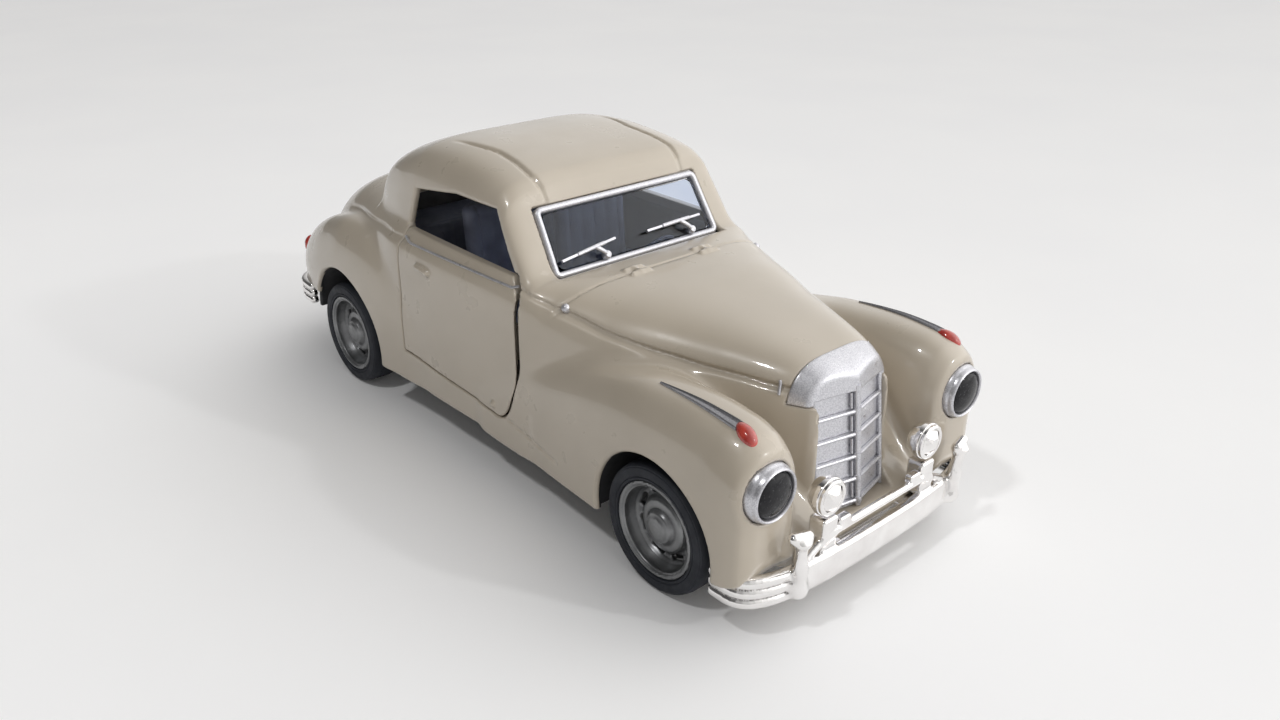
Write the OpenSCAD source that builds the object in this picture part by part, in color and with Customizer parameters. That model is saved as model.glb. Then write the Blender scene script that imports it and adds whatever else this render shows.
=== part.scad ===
// Diecast collector car: a two-door coupe of the early fifties, about 1:36.
// Millimetres. The origin is on the ground in the middle of the car's box,
// the nose points along -Y, +X is the car's left side and +Z is up.

/* [Overall] */
// Length of the body casting, from the grille to the tail
body_l = 118; // [98:0.5:142]
// Width of the body casting over the front wings
body_w = 50; // [41.5:0.5:60]
// Height of the roof above the ground
body_h = 47.4; // [39.5:0.1:56.8]
// Distance between the two axles
wheelbase = 80.6; // [67:0.1:97]

/* [Casting] */
// Wall of the body and door castings
wall = 1.2; // [0.9:0.05:1.5]
// Gap all round a closed door
door_gap = 0.5; // [0.3:0.05:0.7]
// Gap round the pieces that are pressed into the casting
seat_gap = 0.05; // [0.02:0.01:0.1]
// How far a door opens, in degrees
door_open = 55; // [30:1:60]

/* [Hinges] */
// Radius of a door's hinge pin
hinge_pin_r = 0.5; // [0.4:0.05:0.65]
// Radial running clearance of a hinge pin in its arm
hinge_clear = 0.05; // [0.02:0.01:0.1]
// Radius of the knuckle at the end of a hinge arm
knuckle_r = 1.05; // [0.85:0.05:1.3]

/* [Wheels] */
// Radius of a tyre
tyre_r = 9.1; // [7.6:0.1:11]
// Width of a tyre
tyre_w = 5.6; // [4.6:0.1:6.8]
// Radius of a rim, where the tyre sits on it
rim_r = 6.8; // [5.6:0.1:7.6]
// Radius of the steel axles
axle_r = 1; // [0.8:0.05:1.3]
// Radial running clearance of an axle in its saddles
axle_clear = 0.06; // [0.02:0.01:0.1]
// Gap between a tyre and the edge of its wheel arch
arch_gap = 1.7; // [1.2:0.1:2.6]

/* [Chassis] */
// Height of the underside of the chassis plate above the ground
ground_gap = 6.7; // [5.6:0.1:7.4]
// Thickness of the chassis plate
plate_t = 1.1; // [0.9:0.05:1.2]
// Radius of the two screws that hold the chassis plate
screw_r = 0.9; // [0.75:0.05:1.1]

/* [Windscreen] */
// Width of the windscreen frame along its lower edge
screen_w = 32.6; // [27.2:0.1:34]
// Height of the windscreen frame, measured up its slope
screen_h = 10.8; // [9:0.1:11.4]
// Width of the frame's bars
screen_bar = 1.2; // [1:0.05:1.5]

/* [Lamps] */
// Radius of a headlight's bezel
headlight_r = 3.9; // [3.2:0.1:4.7]
// Radius of a fog lamp
fog_r = 2.6; // [2.1:0.1:3.1]

/* [Hidden] */
$fn = 48;

// The stations and places below are drawn for this size of car and scaled to the one asked for
kx = body_w / 50;
ky = body_l / 118;
kz = body_h / 47.4;
function place(p) = [p[0] * kx, p[1] * ky, p[2] * kz];

mid_y = -3.75 * ky;
front_y = mid_y - wheelbase / 2;
rear_y = mid_y + wheelbase / 2;
wheel_x = 24 * kx;
far = 100;

// Stations of the shapes that make up the body, from nose to tail:
// [y, centre x, half width, low z, high z, squareness]
HULL = [[-56, 0, 7.6, 8, 27.4, 4], [-53.5, 0, 8.6, 8, 29.2, 4], [-50.5, 0, 10, 8, 30.4, 3.8],
    [-44, 0, 12.6, 7.6, 31.6, 3.5], [-38, 0, 15, 7.4, 32.3, 3.4], [-28, 0, 19.2, 7.2, 33.3, 3.6],
    [-19, 0, 21.7, 7.2, 33.6, 5], [-14, 0, 22.8, 7.2, 33.4, 8], [-5, 0, 23.4, 7.2, 33.4, 9],
    [8, 0, 23.8, 7.2, 33.4, 9], [18, 0, 23.6, 7.2, 33.6, 8], [27, 0, 22.2, 7.4, 34.4, 5],
    [33, 0, 20.8, 7.6, 35.3, 4], [42, 0, 18.8, 8, 34.9, 3.2], [49, 0, 17.4, 8.4, 32.7, 3],
    [54.5, 0, 16, 9, 28.8, 2.8], [59, 0, 13, 10, 23, 2.6], [61.4, 0, 9, 12, 18.5, 2.4]];
APRON = [[-59.6, 0, 13, 6.8, 8.8, 3], [-57.6, 0, 15, 6.8, 10.6, 3], [-55, 0, 16, 6.8, 13.6, 3],
    [-51.5, 0, 17, 6.8, 18, 3.5], [-42, 0, 17, 6.8, 20, 4]];
WING = [[-59.4, 19.2, 3.6, 9.5, 24, 2], [-58.5, 19, 4.8, 8.2, 25.6, 2.2], [-56.5, 19, 5.6, 7.6, 27, 2.4],
    [-53.5, 18.9, 6, 7.3, 27.7, 2.5], [-48, 18.8, 6.2, 7, 28, 2.6], [-40, 18.6, 6.3, 6.8, 27.6, 2.6],
    [-32, 18.2, 6.3, 6.8, 26.3, 2.6], [-24, 17.8, 6.3, 6.8, 24.3, 2.6], [-17, 17.4, 6.3, 6.9, 21.8, 2.6],
    [-11, 17, 6.3, 7, 18.5, 2.6], [-5, 16.7, 6.2, 7.1, 14.5, 2.5]];
REAR_WING = [[12, 18.3, 4.5, 7.4, 22, 2.4], [17, 18.6, 5.2, 7.3, 26, 2.5], [23, 18.8, 5.8, 7.2, 28.8, 2.6],
    [30, 18.9, 6.1, 7.2, 30, 2.6], [37, 18.7, 6.2, 7.3, 30, 2.6], [44, 18.2, 6.2, 7.6, 28.6, 2.5],
    [50, 17.6, 6, 8, 26.4, 2.4], [55, 17, 5.4, 8.4, 23.6, 2.3], [59, 16.2, 4.4, 9, 20.6, 2.2],
    [61.4, 15.6, 2.8, 11, 17.5, 2]];
CABIN = [[-15.6, 0, 20, 26, 32, 6], [-14.1, 0, 20.4, 26, 34.2, 6], [-11.5, 0, 20.8, 26, 38.3, 6],
    [-9, 0, 21, 26, 42.3, 6], [-7.9, 0, 21, 26, 44.2, 5.8], [-5.8, 0, 21.1, 26, 45.6, 5.6],
    [0, 0, 21.2, 26, 46.8, 5.2], [8, 0, 21.2, 26, 47.4, 5], [15, 0, 21, 26, 47, 4.8], [20, 0, 20.5, 26, 45.7, 4.6],
    [24.4, 0, 19.7, 26, 44, 4.6], [27.4, 0, 19, 26, 42.4, 4.6], [29.4, 0, 18.4, 26, 40.4, 4.4],
    [30.8, 0, 18, 26, 37.4, 4.2], [32, 0, 17.4, 26, 34, 4]];
belt_z = 33.4;
cabin_lean = 0.005;

// Outline of a door, seen from the side: [y, z] of its front edge, back edge and corners
door_front = -13.8;
door_back = 16.8;
door_low = 11.4;
door_knee = 20;
door_foot = 4.4;
door_inner_x = 19.9;
swing_step = 2;

// A door's hinge axis lies this far ahead of the door's edge and this far in from the centre line
hinge_x = 19.8 * kx;
hinge_y = (door_front - 2.1) * ky;
hinge_lo = 17.5 * kz;
hinge_hi = 29 * kz;
lug_t = 1.3;
arm_lo = 20.6 * kz;
arm_hi = 26 * kz;
arm_t = 0.75;
swing_gap = 0.25;

// The windscreen's lower edge and its slope
screen_y = -14.9;
screen_z = 32.5;
screen_slope = 57.6;
glass_t = 0.6;

headlight = [19.5, -57.4, 20.3];
bezel_depth = 3;
fog = [10.2, -58.9, 16.6];
indicator = [19.9, -55.9, 27];
grille_w = 6.8;
grille_foot = 9.5;
cap_y = -51.8;
cap_z = 25.2;

// Value of column c of a table at y, smooth through its stations and never past them
function rise(t, c, i) = (t[i + 1][c] - t[i][c]) / (t[i + 1][0] - t[i][0]);
function slope(t, c, i) = i == 0 ? rise(t, c, 0) : i == len(t) - 1 ? rise(t, c, i - 1)
    : let (a = rise(t, c, i - 1), b = rise(t, c, i)) a * b <= 0 ? 0 : 2 * a * b / (a + b);
function span(t, y) = max([for (i = [0:len(t) - 2]) t[i][0] <= y ? i : 0]);
function at(t, y, c) = let (i = span(t, y), h = t[i + 1][0] - t[i][0], u = (y - t[i][0]) / h)
    (2 * u * u * u - 3 * u * u + 1) * t[i][c] + h * (u * u * u - 2 * u * u + u) * slope(t, c, i)
    + (3 * u * u - 2 * u * u * u) * t[i + 1][c] + h * (u * u * u - u * u) * slope(t, c, i + 1);

function squared(v, n) = sign(v) * pow(abs(v), 2 / n);
// One ring of a shape: half a squared ellipse over straight sides, that leans in above the belt.
// d insets it, and drop lets its underside down so that the cavity is open below.
function ring(t, y, d, drop, lean, m) = let (
    cx = at(t, y, 1), a = at(t, y, 2) - d, lo = at(t, y, 3), hi = at(t, y, 4), n = at(t, y, 5), cz = (lo + hi) / 2)
    concat([for (i = [0:m]) let (z = cz + (hi - d - cz) * squared(sin(180 * i / m), n))
        place([(cx + a * squared(cos(180 * i / m), n)) * (1 - lean * max(0, z - belt_z)), y, z])],
        [place([cx - a, y, lo - drop]), place([cx + a, y, lo - drop])]);

// Half width of one of the shapes at y and z
function reach(t, y, z) = let (cz = (at(t, y, 3) + at(t, y, 4)) / 2, v = (z - cz) / (at(t, y, 4) - cz), n = at(t, y, 5))
    v >= 1 ? 0 : at(t, y, 1) + at(t, y, 2) * (v <= 0 ? 1 : pow(1 - pow(v, n), 1 / n));

// Front edge of the door at height z, and how far the body's edge ahead of it is from the hinge
function door_edge(z) = door_front + (z > door_knee ? 0
    : door_foot * (1 - sqrt(1 - pow(min(1, (door_knee - z) / (door_knee - door_low)), 2))));
function swing(z) = let (y = door_edge(z), x = max(reach(HULL, y, z), reach(WING, y, z)))
    norm([x * kx - hinge_x, y * ky - door_gap - hinge_y]) + swing_gap;

// A closed solid through a list of rings that have the same number of points
module skin(rings) {
    m = len(rings[0]);
    k = len(rings);
    polyhedron([for (r = rings) each r], concat(
        [[for (i = [m - 1:-1:0]) i]],
        [for (j = [0:k - 2], i = [0:m - 1]) let (a = j * m, e = (i + 1) % m) each
            [[a + i, a + e, a + m + i], [a + e, a + m + e, a + m + i]]],
        [[for (i = [0:m - 1]) (k - 1) * m + i]]));
}

module loft(t, d = 0, drop = 0, lean = 0, steps = 13, m = 14) {
    y0 = t[0][0] + d;
    y1 = t[len(t) - 1][0] - d;
    skin([for (i = [0:steps]) ring(t, y0 + (y1 - y0) * (1 - cos(180 * i / steps)) / 2, d, drop, lean, m)]);
}

// A bar with a rounded section, swept along a path of [x, y, z] points in plan
function along(path, i) = let (a = path[max(0, i - 1)], b = path[min(len(path) - 1, i + 1)], v = b - a)
    v / norm(v);
module bar(path, half_t, half_h, n = 3, m = 16) {
    skin([for (i = [0:len(path) - 1]) let (v = along(path, i), side = [v[1], -v[0], 0] / norm([v[0], v[1]]))
        [for (j = [0:m - 1]) path[i] + side * half_t * squared(cos(360 * j / m), n)
            + [0, 0, half_h * squared(sin(360 * j / m), n)]]]);
}

module both() {
    children();
    mirror([1, 0, 0]) children();
}

module on_side(side) {
    mirror([side < 0 ? 1 : 0, 0, 0]) children();
}

// The whole outer form of the body, or with d the cavity inside it
module form(d = 0, drop = 0) {
    loft(HULL, d, drop, steps = 28, m = 18);
    loft(APRON, d, drop, steps = 5);
    loft(CABIN, d, 0, cabin_lean, steps = 18, m = 16);
    both() {
        loft(WING, d, drop);
        loft(REAR_WING, d, drop);
    }
}

// A side view outline, pushed through the car's side
module from_side(x0, x1) {
    translate([x0 * kx, 0, 0]) rotate([90, 0, 90]) linear_extrude((x1 - x0) * kx) children();
}

module door_outline(grow = 0) {
    offset(delta = grow) polygon(concat(
        [for (a = [0:10:90]) [(door_front + door_foot * (1 - cos(a))) * ky,
            (door_knee - (door_knee - door_low) * sin(a)) * kz]],
        [[door_back * ky, (door_low + 1.6) * kz], [door_back * ky, belt_z * kz],
         [door_front * ky, belt_z * kz]]));
}

module window_outline() {
    offset(r = 0.8) offset(delta = -0.8)
        polygon([[-11.8 * ky, belt_z * kz], [17.6 * ky, belt_z * kz], [15.4 * ky, 40.2 * kz], [4 * ky, 41.9 * kz],
            [-6.4 * ky, 42 * kz]]);
}

// Things drawn in the plane of the windscreen: X across, Y up the slope, Z out of the glass
module on_screen() {
    translate([0, screen_y * ky, screen_z * kz]) rotate([screen_slope, 0, 0]) children();
}

module screen_outline(inset = 0) {
    offset(r = 1) offset(delta = -1 - inset)
        polygon([[-screen_w / 2, 0], [screen_w / 2, 0], [screen_w / 2 - 0.5, screen_h], [0.5 - screen_w / 2, screen_h]]);
}

module on_rear_screen() {
    translate([0, 32.6 * ky, 35.7 * kz]) rotate([-72, 0, 0]) mirror([0, 1, 0]) children();
}

module rear_outline(inset = 0) {
    offset(r = 1.2) offset(delta = -1.2 - inset)
        polygon([[-9.5 * kx, 0.4], [9.5 * kx, 0.4], [8.6 * kx, 4.6 * kz], [-8.6 * kx, 4.6 * kz]]);
}

// Things drawn round a lamp that faces forward: Z out of the lamp
module facing_front(p) {
    translate(place(p)) rotate([90, 0, 0]) children();
}

module teardrop_lamp(grow = 0) {
    translate(place(indicator)) rotate([24, 0, 4]) scale([1 + grow, 1.65 + grow, 0.9 + grow]) sphere(1, $fn = 24);
}

module tail_lens(grow = 0) {
    translate(place([18.4, 60.3, 18.2])) scale([1.5 + grow, 1.4 + grow, 2 + grow]) sphere(1, $fn = 24);
}

// A slice of the grille's pointed front, from z0 to z1 and w to each side of the middle
module prow(z0, z1, out, w) {
    function nose(z) = -55.9 - (26.5 - z) * 0.125 - out;
    pts = [for (z = [z0, z1]) each [[-w, -53, z], [-w, nose(z) + 1.5, z], [0, nose(z), z], [w, nose(z) + 1.5, z], [w, -53, z]]];
    polyhedron([for (p = pts) place(p)], [[0, 1, 2, 3, 4], [9, 8, 7, 6, 5],
        [5, 6, 1, 0], [6, 7, 2, 1], [7, 8, 3, 2], [8, 9, 4, 3], [9, 5, 0, 4]]);
}

// A post inside the casting that a screw of the chassis plate goes into
module post(y, top) {
    translate([0, y, ground_gap + plate_t + seat_gap]) difference() {
        cylinder(r = screw_r + 1.5, h = top - ground_gap - plate_t);
        translate([0, 0, -1]) cylinder(r = screw_r, h = 8);
    }
}
post_front = -25 * ky;
post_rear = 48 * ky;

module arch(y, grow) {
    translate([0, y, tyre_r]) rotate([0, 90, 0]) cylinder(r = tyre_r + grow, h = far, center = true, $fn = 64);
}

module body_shell() {
    color("ivory") resize([0, 0, 0]) difference() {
        union() {
            difference() {
                form();
                form(wall, 8);
            }
            post(post_front, 33 * kz);
            post(post_rear, 31.6 * kz);
        }
        arch(front_y, arch_gap);
        arch(rear_y, arch_gap + 0.7);
        both() {
            from_side(door_inner_x - door_gap, 30) door_outline(door_gap);
            from_side(17, 30) window_outline();
            facing_front(headlight) translate([0, 0, -1.5]) cylinder(r = headlight_r + seat_gap, h = 9);
            teardrop_lamp(seat_gap);
            tail_lens(seat_gap);
        }
        on_screen() translate([0, 0, -4]) linear_extrude(8) offset(delta = seat_gap) screen_outline();
        on_rear_screen() translate([0, 0, -4]) linear_extrude(8) offset(delta = seat_gap) rear_outline();
        translate([-11 * kx, (cap_y - 10) * ky, cap_z * kz]) cube([22 * kx, 10 * ky, 6 * kz]);
        translate([-(grille_w + seat_gap) * kx, -60 * ky, (grille_foot - seat_gap) * kz])
            cube([2 * (grille_w + seat_gap) * kx, 7 * ky, 40]);
    }
}

module grille_shell() {
    color("silver") resize([0, 0, 0]) difference() {
        intersection() {
            loft(HULL, 0.05, 0, 0, steps = 40, m = 22);
            translate([-far / 2, -60 * ky, (cap_z + 0.05) * kz]) cube([far, (60 + cap_y - 0.05) * ky, 9 * kz]);
        }
        prow(0, 26.6, 0.05, grille_w + 0.05);
    }
}

module grille_bars() {
    color("silver") resize([0, 0, 0]) union() {
        prow(grille_foot, 26.55, -0.4, grille_w);
        for (i = [0:5]) prow(10 + 3.15 * i, 10.75 + 3.15 * i, 0.1, grille_w - 0.1);
    }
}

module chassis_plate() {
    top = tyre_r + axle_r + 1.2;
    color("dimgray") difference() {
        union() {
            translate([0, 0, ground_gap]) linear_extrude(plate_t) difference() {
                both() polygon([for (p = [[0, -52], [12, -52], [17.5, -46], [20.6, -20], [21.8, 0], [21.8, 16],
                    [20, 30], [16, 48], [12, 55], [0, 55]]) [p[0] * kx, p[1] * ky]]);
                for (y = [front_y, rear_y], s = [-1, 1])
                    translate([s * (wheel_x - tyre_w / 2), y]) square([tyre_w + 3, 2 * tyre_r + 3], center = true);
            }
            for (y = [front_y, rear_y], s = [-1, 1])
                translate([s * 10 * kx - 1.5, y - 2.4, ground_gap]) cube([3, 4.8, top - ground_gap]);
        }
        for (y = [front_y, rear_y])
            translate([0, y, tyre_r]) rotate([0, 90, 0]) cylinder(r = axle_r + axle_clear, h = far, center = true);
        for (y = [post_front, post_rear]) translate([0, y, 0]) {
            cylinder(r = screw_r + 0.1, h = 20);
            cylinder(r = 2 * screw_r, h = ground_gap + 0.6);
        }
    }
}

module base_screws() {
    color("gainsboro") for (y = [post_front, post_rear]) translate([0, y, ground_gap]) difference() {
        union() {
            cylinder(r = 2 * screw_r - 0.05, h = 0.6);
            cylinder(r = screw_r - 0.02, h = 5.5);
        }
        for (a = [0, 90]) rotate([0, 0, a]) cube([2 * screw_r, 0.35, 0.6], center = true);
    }
}

// The tub is an open box under the seats
tub_w = 17.6;
tub_front = -18;
tub_l = 42.5;
tub_floor = 10;
tub_h = 13;
tub_t = 1;
module interior_tub() {
    color("black") difference() {
        translate([-tub_w * kx, tub_front * ky, tub_floor * kz]) cube([2 * tub_w * kx, tub_l * ky, tub_h * kz]);
        translate([-(tub_w - tub_t) * kx, (tub_front + tub_t) * ky, (tub_floor + tub_t) * kz])
            cube([2 * (tub_w - tub_t) * kx, (tub_l - 2 * tub_t) * ky, tub_h * kz]);
    }
}

// A seat with five upright flutes on the front of its back
seat_z = tub_floor + tub_t + 0.05;
cushion_h = 8;
back_t = 3.4;
flute_r = 0.7;
module seat(w, y, back_top, depth) {
    translate([0, y, seat_z * kz]) {
        translate([-w / 2, -depth, 0]) cube([w, depth, cushion_h * kz]);
        translate([-w / 2, 0, 0]) cube([w, back_t, (back_top - seat_z) * kz]);
        for (i = [-2:2]) translate([i * (w / 4 - 0.45), -0.1, cushion_h * kz])
            cylinder(r = flute_r, h = (back_top - seat_z - cushion_h - 1.5) * kz, $fn = 16);
    }
}

module front_seat(side) {
    color("darkslategray") translate([side * 8.6 * kx, 0, 0]) seat(14.4 * kx, 5.5 * ky, 37.6, 9.5 * ky);
}

module rear_seat() {
    color("darkslategray") seat(33 * kx, 19 * ky, 31, 6 * ky);
}

module dashboard() {
    color("black") translate([-tub_w * kx, -13.5 * ky, (tub_floor + tub_h + 0.1) * kz])
        cube([2 * tub_w * kx, 4 * ky, 8 * kz]);
}

module steering_wheel() {
    color("black") translate(place([8.6, -8.6, 29])) rotate([-60, 0, 0]) {
        rotate_extrude() translate([3.4, 0]) circle(0.45, $fn = 16);
        for (a = [90, 210, 330]) rotate([0, 0, a]) translate([0, -0.25, -0.25]) cube([3.4, 0.5, 0.5]);
        translate([0, 0, -1.2]) cylinder(r = 0.7, h = 1.6, $fn = 24);
    }
}

module windscreen_frame() {
    color("silver") on_screen() translate([0, 0, -0.9]) linear_extrude(1.3) difference() {
        screen_outline();
        screen_outline(screen_bar);
    }
}

module windscreen() {
    color("lightblue", 0.5) on_screen() translate([0, 0, -0.6]) linear_extrude(glass_t)
        screen_outline(screen_bar + seat_gap);
}

module wiper(x) {
    color("silver") on_screen() translate([x, 0.9, 0.45]) {
        cylinder(r = 0.6, h = 0.6, $fn = 24);
        rotate([0, 0, 28]) translate([-0.2, -0.2, 0]) cube([3.4, 0.4, 0.4]);
        translate([2.2, 1.2, 0]) rotate([0, 0, 14]) translate([-3.5, -0.25, 0]) cube([7, 0.5, 0.5]);
    }
}

module rear_window() {
    color("lightblue", 0.5) on_rear_screen() translate([0, 0, -0.8]) linear_extrude(0.8) rear_outline();
}

module headlight_bezel(side) {
    color("silver") on_side(side) facing_front(headlight) rotate_extrude() polygon([
        [headlight_r - 0.75, -1.4], [headlight_r, -1.4], [headlight_r, bezel_depth - 0.35],
        [headlight_r - 0.35, bezel_depth], [headlight_r - 0.75, bezel_depth - 0.2]]);
}

module headlight_lens(side) {
    r = headlight_r - 0.75 - seat_gap;
    color("black") on_side(side) facing_front(headlight) rotate_extrude() polygon(concat(
        [[0, 0.6], [r, 0.6]], [for (a = [0:10:90]) [r * cos(a), bezel_depth - 1 + 1.7 * sin(a)]]));
}

module indicator_lamp(side) {
    color("red") on_side(side) teardrop_lamp();
}

module tail_lamp(side) {
    color("red") on_side(side) tail_lens();
}

// Height of the middle of the front bumper's blade
bumper_z = 7;
// The front bumper in plan, from the middle round to the end on the left side
function front_plan(a) = place([23.4 * pow(sin(a), 0.7), -54.4 - 7.4 * pow(cos(a), 0.5), bumper_z]);
module front_bumper() {
    color("whitesmoke") resize([0, 0, 0]) union() {
        both() {
            bar([for (a = [0:6:90]) front_plan(a)], 0.7, 2.2, 4);
            bar([for (t = [0:3]) place([3.2 * t, -61.4, 11.6])], 0.3, 0.3, 2, 8);
            translate(place([16.3, -61.9, 5])) cylinder(r = 1.35, h = 9.6 * kz, $fn = 20);
            facing_front(fog) cylinder(r = fog_r, h = 2.5, $fn = 24);
            translate(place([8.8, -61.8, 8.8])) cube([2.8, 3.2, 5.6 * kz]);
            translate(place([6, -61.6, 6.6])) cube([4, 8, 1.6]);
        }
    }
}

// The rear bumper in plan, from the middle round to the end on the left side
function rear_plan(a) = place([23 * pow(sin(a), 0.8), 52.6 + 10 * pow(cos(a), 0.62), 11.6]);
module rear_bumper() {
    color("whitesmoke") resize([0, 0, 0]) union() {
        both() {
            bar([for (a = [0:6:90]) rear_plan(a)], 0.7, 2, 4);
            translate(place([9, 62.1, 8.4])) cylinder(r = 1.2, h = 7 * kz, $fn = 20);
            translate(place([6, 56, 10.8])) cube([4, 6.4, 1.6]);
        }
    }
}

module hinge_bracket(side) {
    color("dimgray") on_side(side) difference() {
        union() {
            translate([hinge_x - 1.3, hinge_y - 2.2, hinge_lo]) cube([3, 0.8, hinge_hi - hinge_lo]);
            for (z = [hinge_lo, hinge_hi - lug_t]) translate([hinge_x, hinge_y, z]) {
                cylinder(r = 1, h = lug_t);
                translate([-1, -2.2, 0]) cube([2, 2.2, lug_t]);
            }
        }
        translate([hinge_x, hinge_y, 0]) cylinder(r = hinge_pin_r, h = far);
    }
}

module hinge_pin(side) {
    color("gainsboro") on_side(side) translate([hinge_x, hinge_y, hinge_lo])
        cylinder(r = hinge_pin_r, h = hinge_hi - hinge_lo);
}

module door_arm(side) {
    reach = (door_front + 2.8) * ky - hinge_y;
    color("ivory") on_side(side) translate([hinge_x, hinge_y, arm_lo]) difference() {
        union() {
            cylinder(r = knuckle_r, h = arm_hi - arm_lo);
            translate([-0.75 - arm_t, -1, 0]) cube([0.75 + arm_t, 2, arm_hi - arm_lo]);
            translate([-0.75 - arm_t, 0, 0]) cube([arm_t, reach, arm_hi - arm_lo]);
            translate([-0.75 - arm_t, reach - 0.8, 0]) cube([2.1 * kx + 1.4, 0.8, arm_hi - arm_lo]);
        }
        translate([0, 0, -1]) cylinder(r = hinge_pin_r + hinge_clear, h = far);
    }
}

// The panel's front edge is relieved to the circle that the body's edge leaves free as the door swings
module door_panel(side) {
    color("ivory") on_side(side) resize([0, 0, 0]) difference() {
        union() {
            intersection() {
                difference() {
                    form();
                    form(wall, 8);
                }
                from_side(door_inner_x, 30) door_outline();
            }
            translate(place([23.4, 10.8, 28.6])) rotate([0, 4, 0]) cube([1.4, 4.6, 0.9], center = true);
        }
        translate([hinge_x, hinge_y, 0]) rotate_extrude($fn = 60) polygon(concat([[0, 5 * kz], [swing(door_low), 5 * kz]],
            [for (z = [door_low:swing_step:belt_z - 1]) [swing(z), z * kz]],
            [[swing(belt_z - 2), (belt_z + 3) * kz], [0, (belt_z + 3) * kz]]));
    }
}

module axle(y) {
    color("gainsboro") translate([0, y, tyre_r]) rotate([0, 90, 0])
        cylinder(r = axle_r, h = 2 * wheel_x - 3, center = true);
}

// A wheel's pieces turn about X: Z here points out of the car's left side, from the wheel's middle
module at_wheel(side, y) {
    on_side(side) translate([wheel_x - tyre_w / 2, y, tyre_r]) rotate([0, 90, 0]) children();
}

module rim(side, y) {
    h = tyre_w / 2;
    color("darkgray") at_wheel(side, y) difference() {
        rotate_extrude() polygon([
            [0, h - 1.6], [0, h - 0.35], [1.2, h - 0.55], [2.2, h - 1.15], [2.5, h - 1.5], [4.6, h - 1.9],
            [5.4, h - 1.2], [rim_r - 0.7, h - 0.1], [rim_r, h - 0.1], [rim_r, -h + 0.3], [rim_r - 0.8, -h + 0.3],
            [5, h - 3.2], [2.4, h - 3.2], [2.4, -h + 0.5], [0, -h + 0.5]]);
        translate([0, 0, -h - 1]) cylinder(r = axle_r, h = 2 * h + 1 - 1.5);
        for (a = [0:45:315]) rotate([0, 0, a]) translate([3.75, 0, -h]) cylinder(r = 0.55, h = 2 * h, $fn = 20);
    }
}

module tyre(side, y) {
    h = tyre_w / 2;
    color("black") at_wheel(side, y) rotate_extrude($fn = 96) polygon([
        [rim_r, -h + 0.1], [rim_r + 0.5, -h], [tyre_r - 0.6, -h], [tyre_r - 0.15, -h + 0.4], [tyre_r, -h + 1],
        [tyre_r, h - 1], [tyre_r - 0.15, h - 0.4], [tyre_r - 0.6, h], [rim_r + 0.5, h], [rim_r, h - 0.1]]);
}

body_shell();
chassis_plate();
base_screws();
interior_tub();
dashboard();
steering_wheel();
front_seat(1);  // front_seat_left
front_seat(-1);  // front_seat_right
rear_seat();
windscreen_frame();
windscreen();
wiper(3);  // wiper_left
wiper(-9);  // wiper_right
rear_window();
grille_shell();
grille_bars();
headlight_bezel(1);  // headlight_bezel_left
headlight_bezel(-1);  // headlight_bezel_right
headlight_lens(1);  // headlight_lens_left
headlight_lens(-1);  // headlight_lens_right
indicator_lamp(1);  // indicator_left
indicator_lamp(-1);  // indicator_right
front_bumper();
rear_bumper();
tail_lamp(1);  // tail_lamp_left
tail_lamp(-1);  // tail_lamp_right
hinge_bracket(1);  // hinge_bracket_left
hinge_bracket(-1);  // hinge_bracket_right
hinge_pin(1);  // hinge_pin_left
hinge_pin(-1);  // hinge_pin_right
door_panel(1);  // door_panel_left
door_panel(-1);  // door_panel_right
door_arm(1);  // door_arm_left
door_arm(-1);  // door_arm_right
axle(front_y);  // front_axle
rim(1, front_y);  // front_rim_left
rim(-1, front_y);  // front_rim_right
tyre(1, front_y);  // front_tyre_left
tyre(-1, front_y);  // front_tyre_right
axle(rear_y);  // rear_axle
rim(1, rear_y);  // rear_rim_left
rim(-1, rear_y);  // rear_rim_right
tyre(1, rear_y);  // rear_tyre_left
tyre(-1, rear_y);  // rear_tyre_right
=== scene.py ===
"""Diecast collector car: the visual model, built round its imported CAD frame.

Shapes are worked out in millimetres, in the frame's axes: the nose points along -Y, +X is the
car's left side, and Z is up from the ground. They turn into metres when a mesh is made.
"""

import math

import bmesh
import bpy
import numpy as np
from mathutils import Matrix, Vector


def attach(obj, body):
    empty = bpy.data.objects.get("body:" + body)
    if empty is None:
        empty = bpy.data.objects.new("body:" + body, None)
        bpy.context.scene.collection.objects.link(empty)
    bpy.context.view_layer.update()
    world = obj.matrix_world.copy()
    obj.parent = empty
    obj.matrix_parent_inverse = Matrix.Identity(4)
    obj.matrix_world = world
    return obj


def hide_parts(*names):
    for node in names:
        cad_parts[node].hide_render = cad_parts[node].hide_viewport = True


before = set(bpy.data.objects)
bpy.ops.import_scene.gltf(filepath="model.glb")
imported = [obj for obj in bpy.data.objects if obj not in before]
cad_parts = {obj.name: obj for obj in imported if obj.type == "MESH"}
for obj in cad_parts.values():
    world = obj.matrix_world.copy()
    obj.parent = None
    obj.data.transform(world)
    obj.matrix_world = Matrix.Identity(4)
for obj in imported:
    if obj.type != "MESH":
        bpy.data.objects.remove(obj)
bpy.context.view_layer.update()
MM = 0.001

# ------------------------------------------------------------------ driving dimensions

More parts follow.
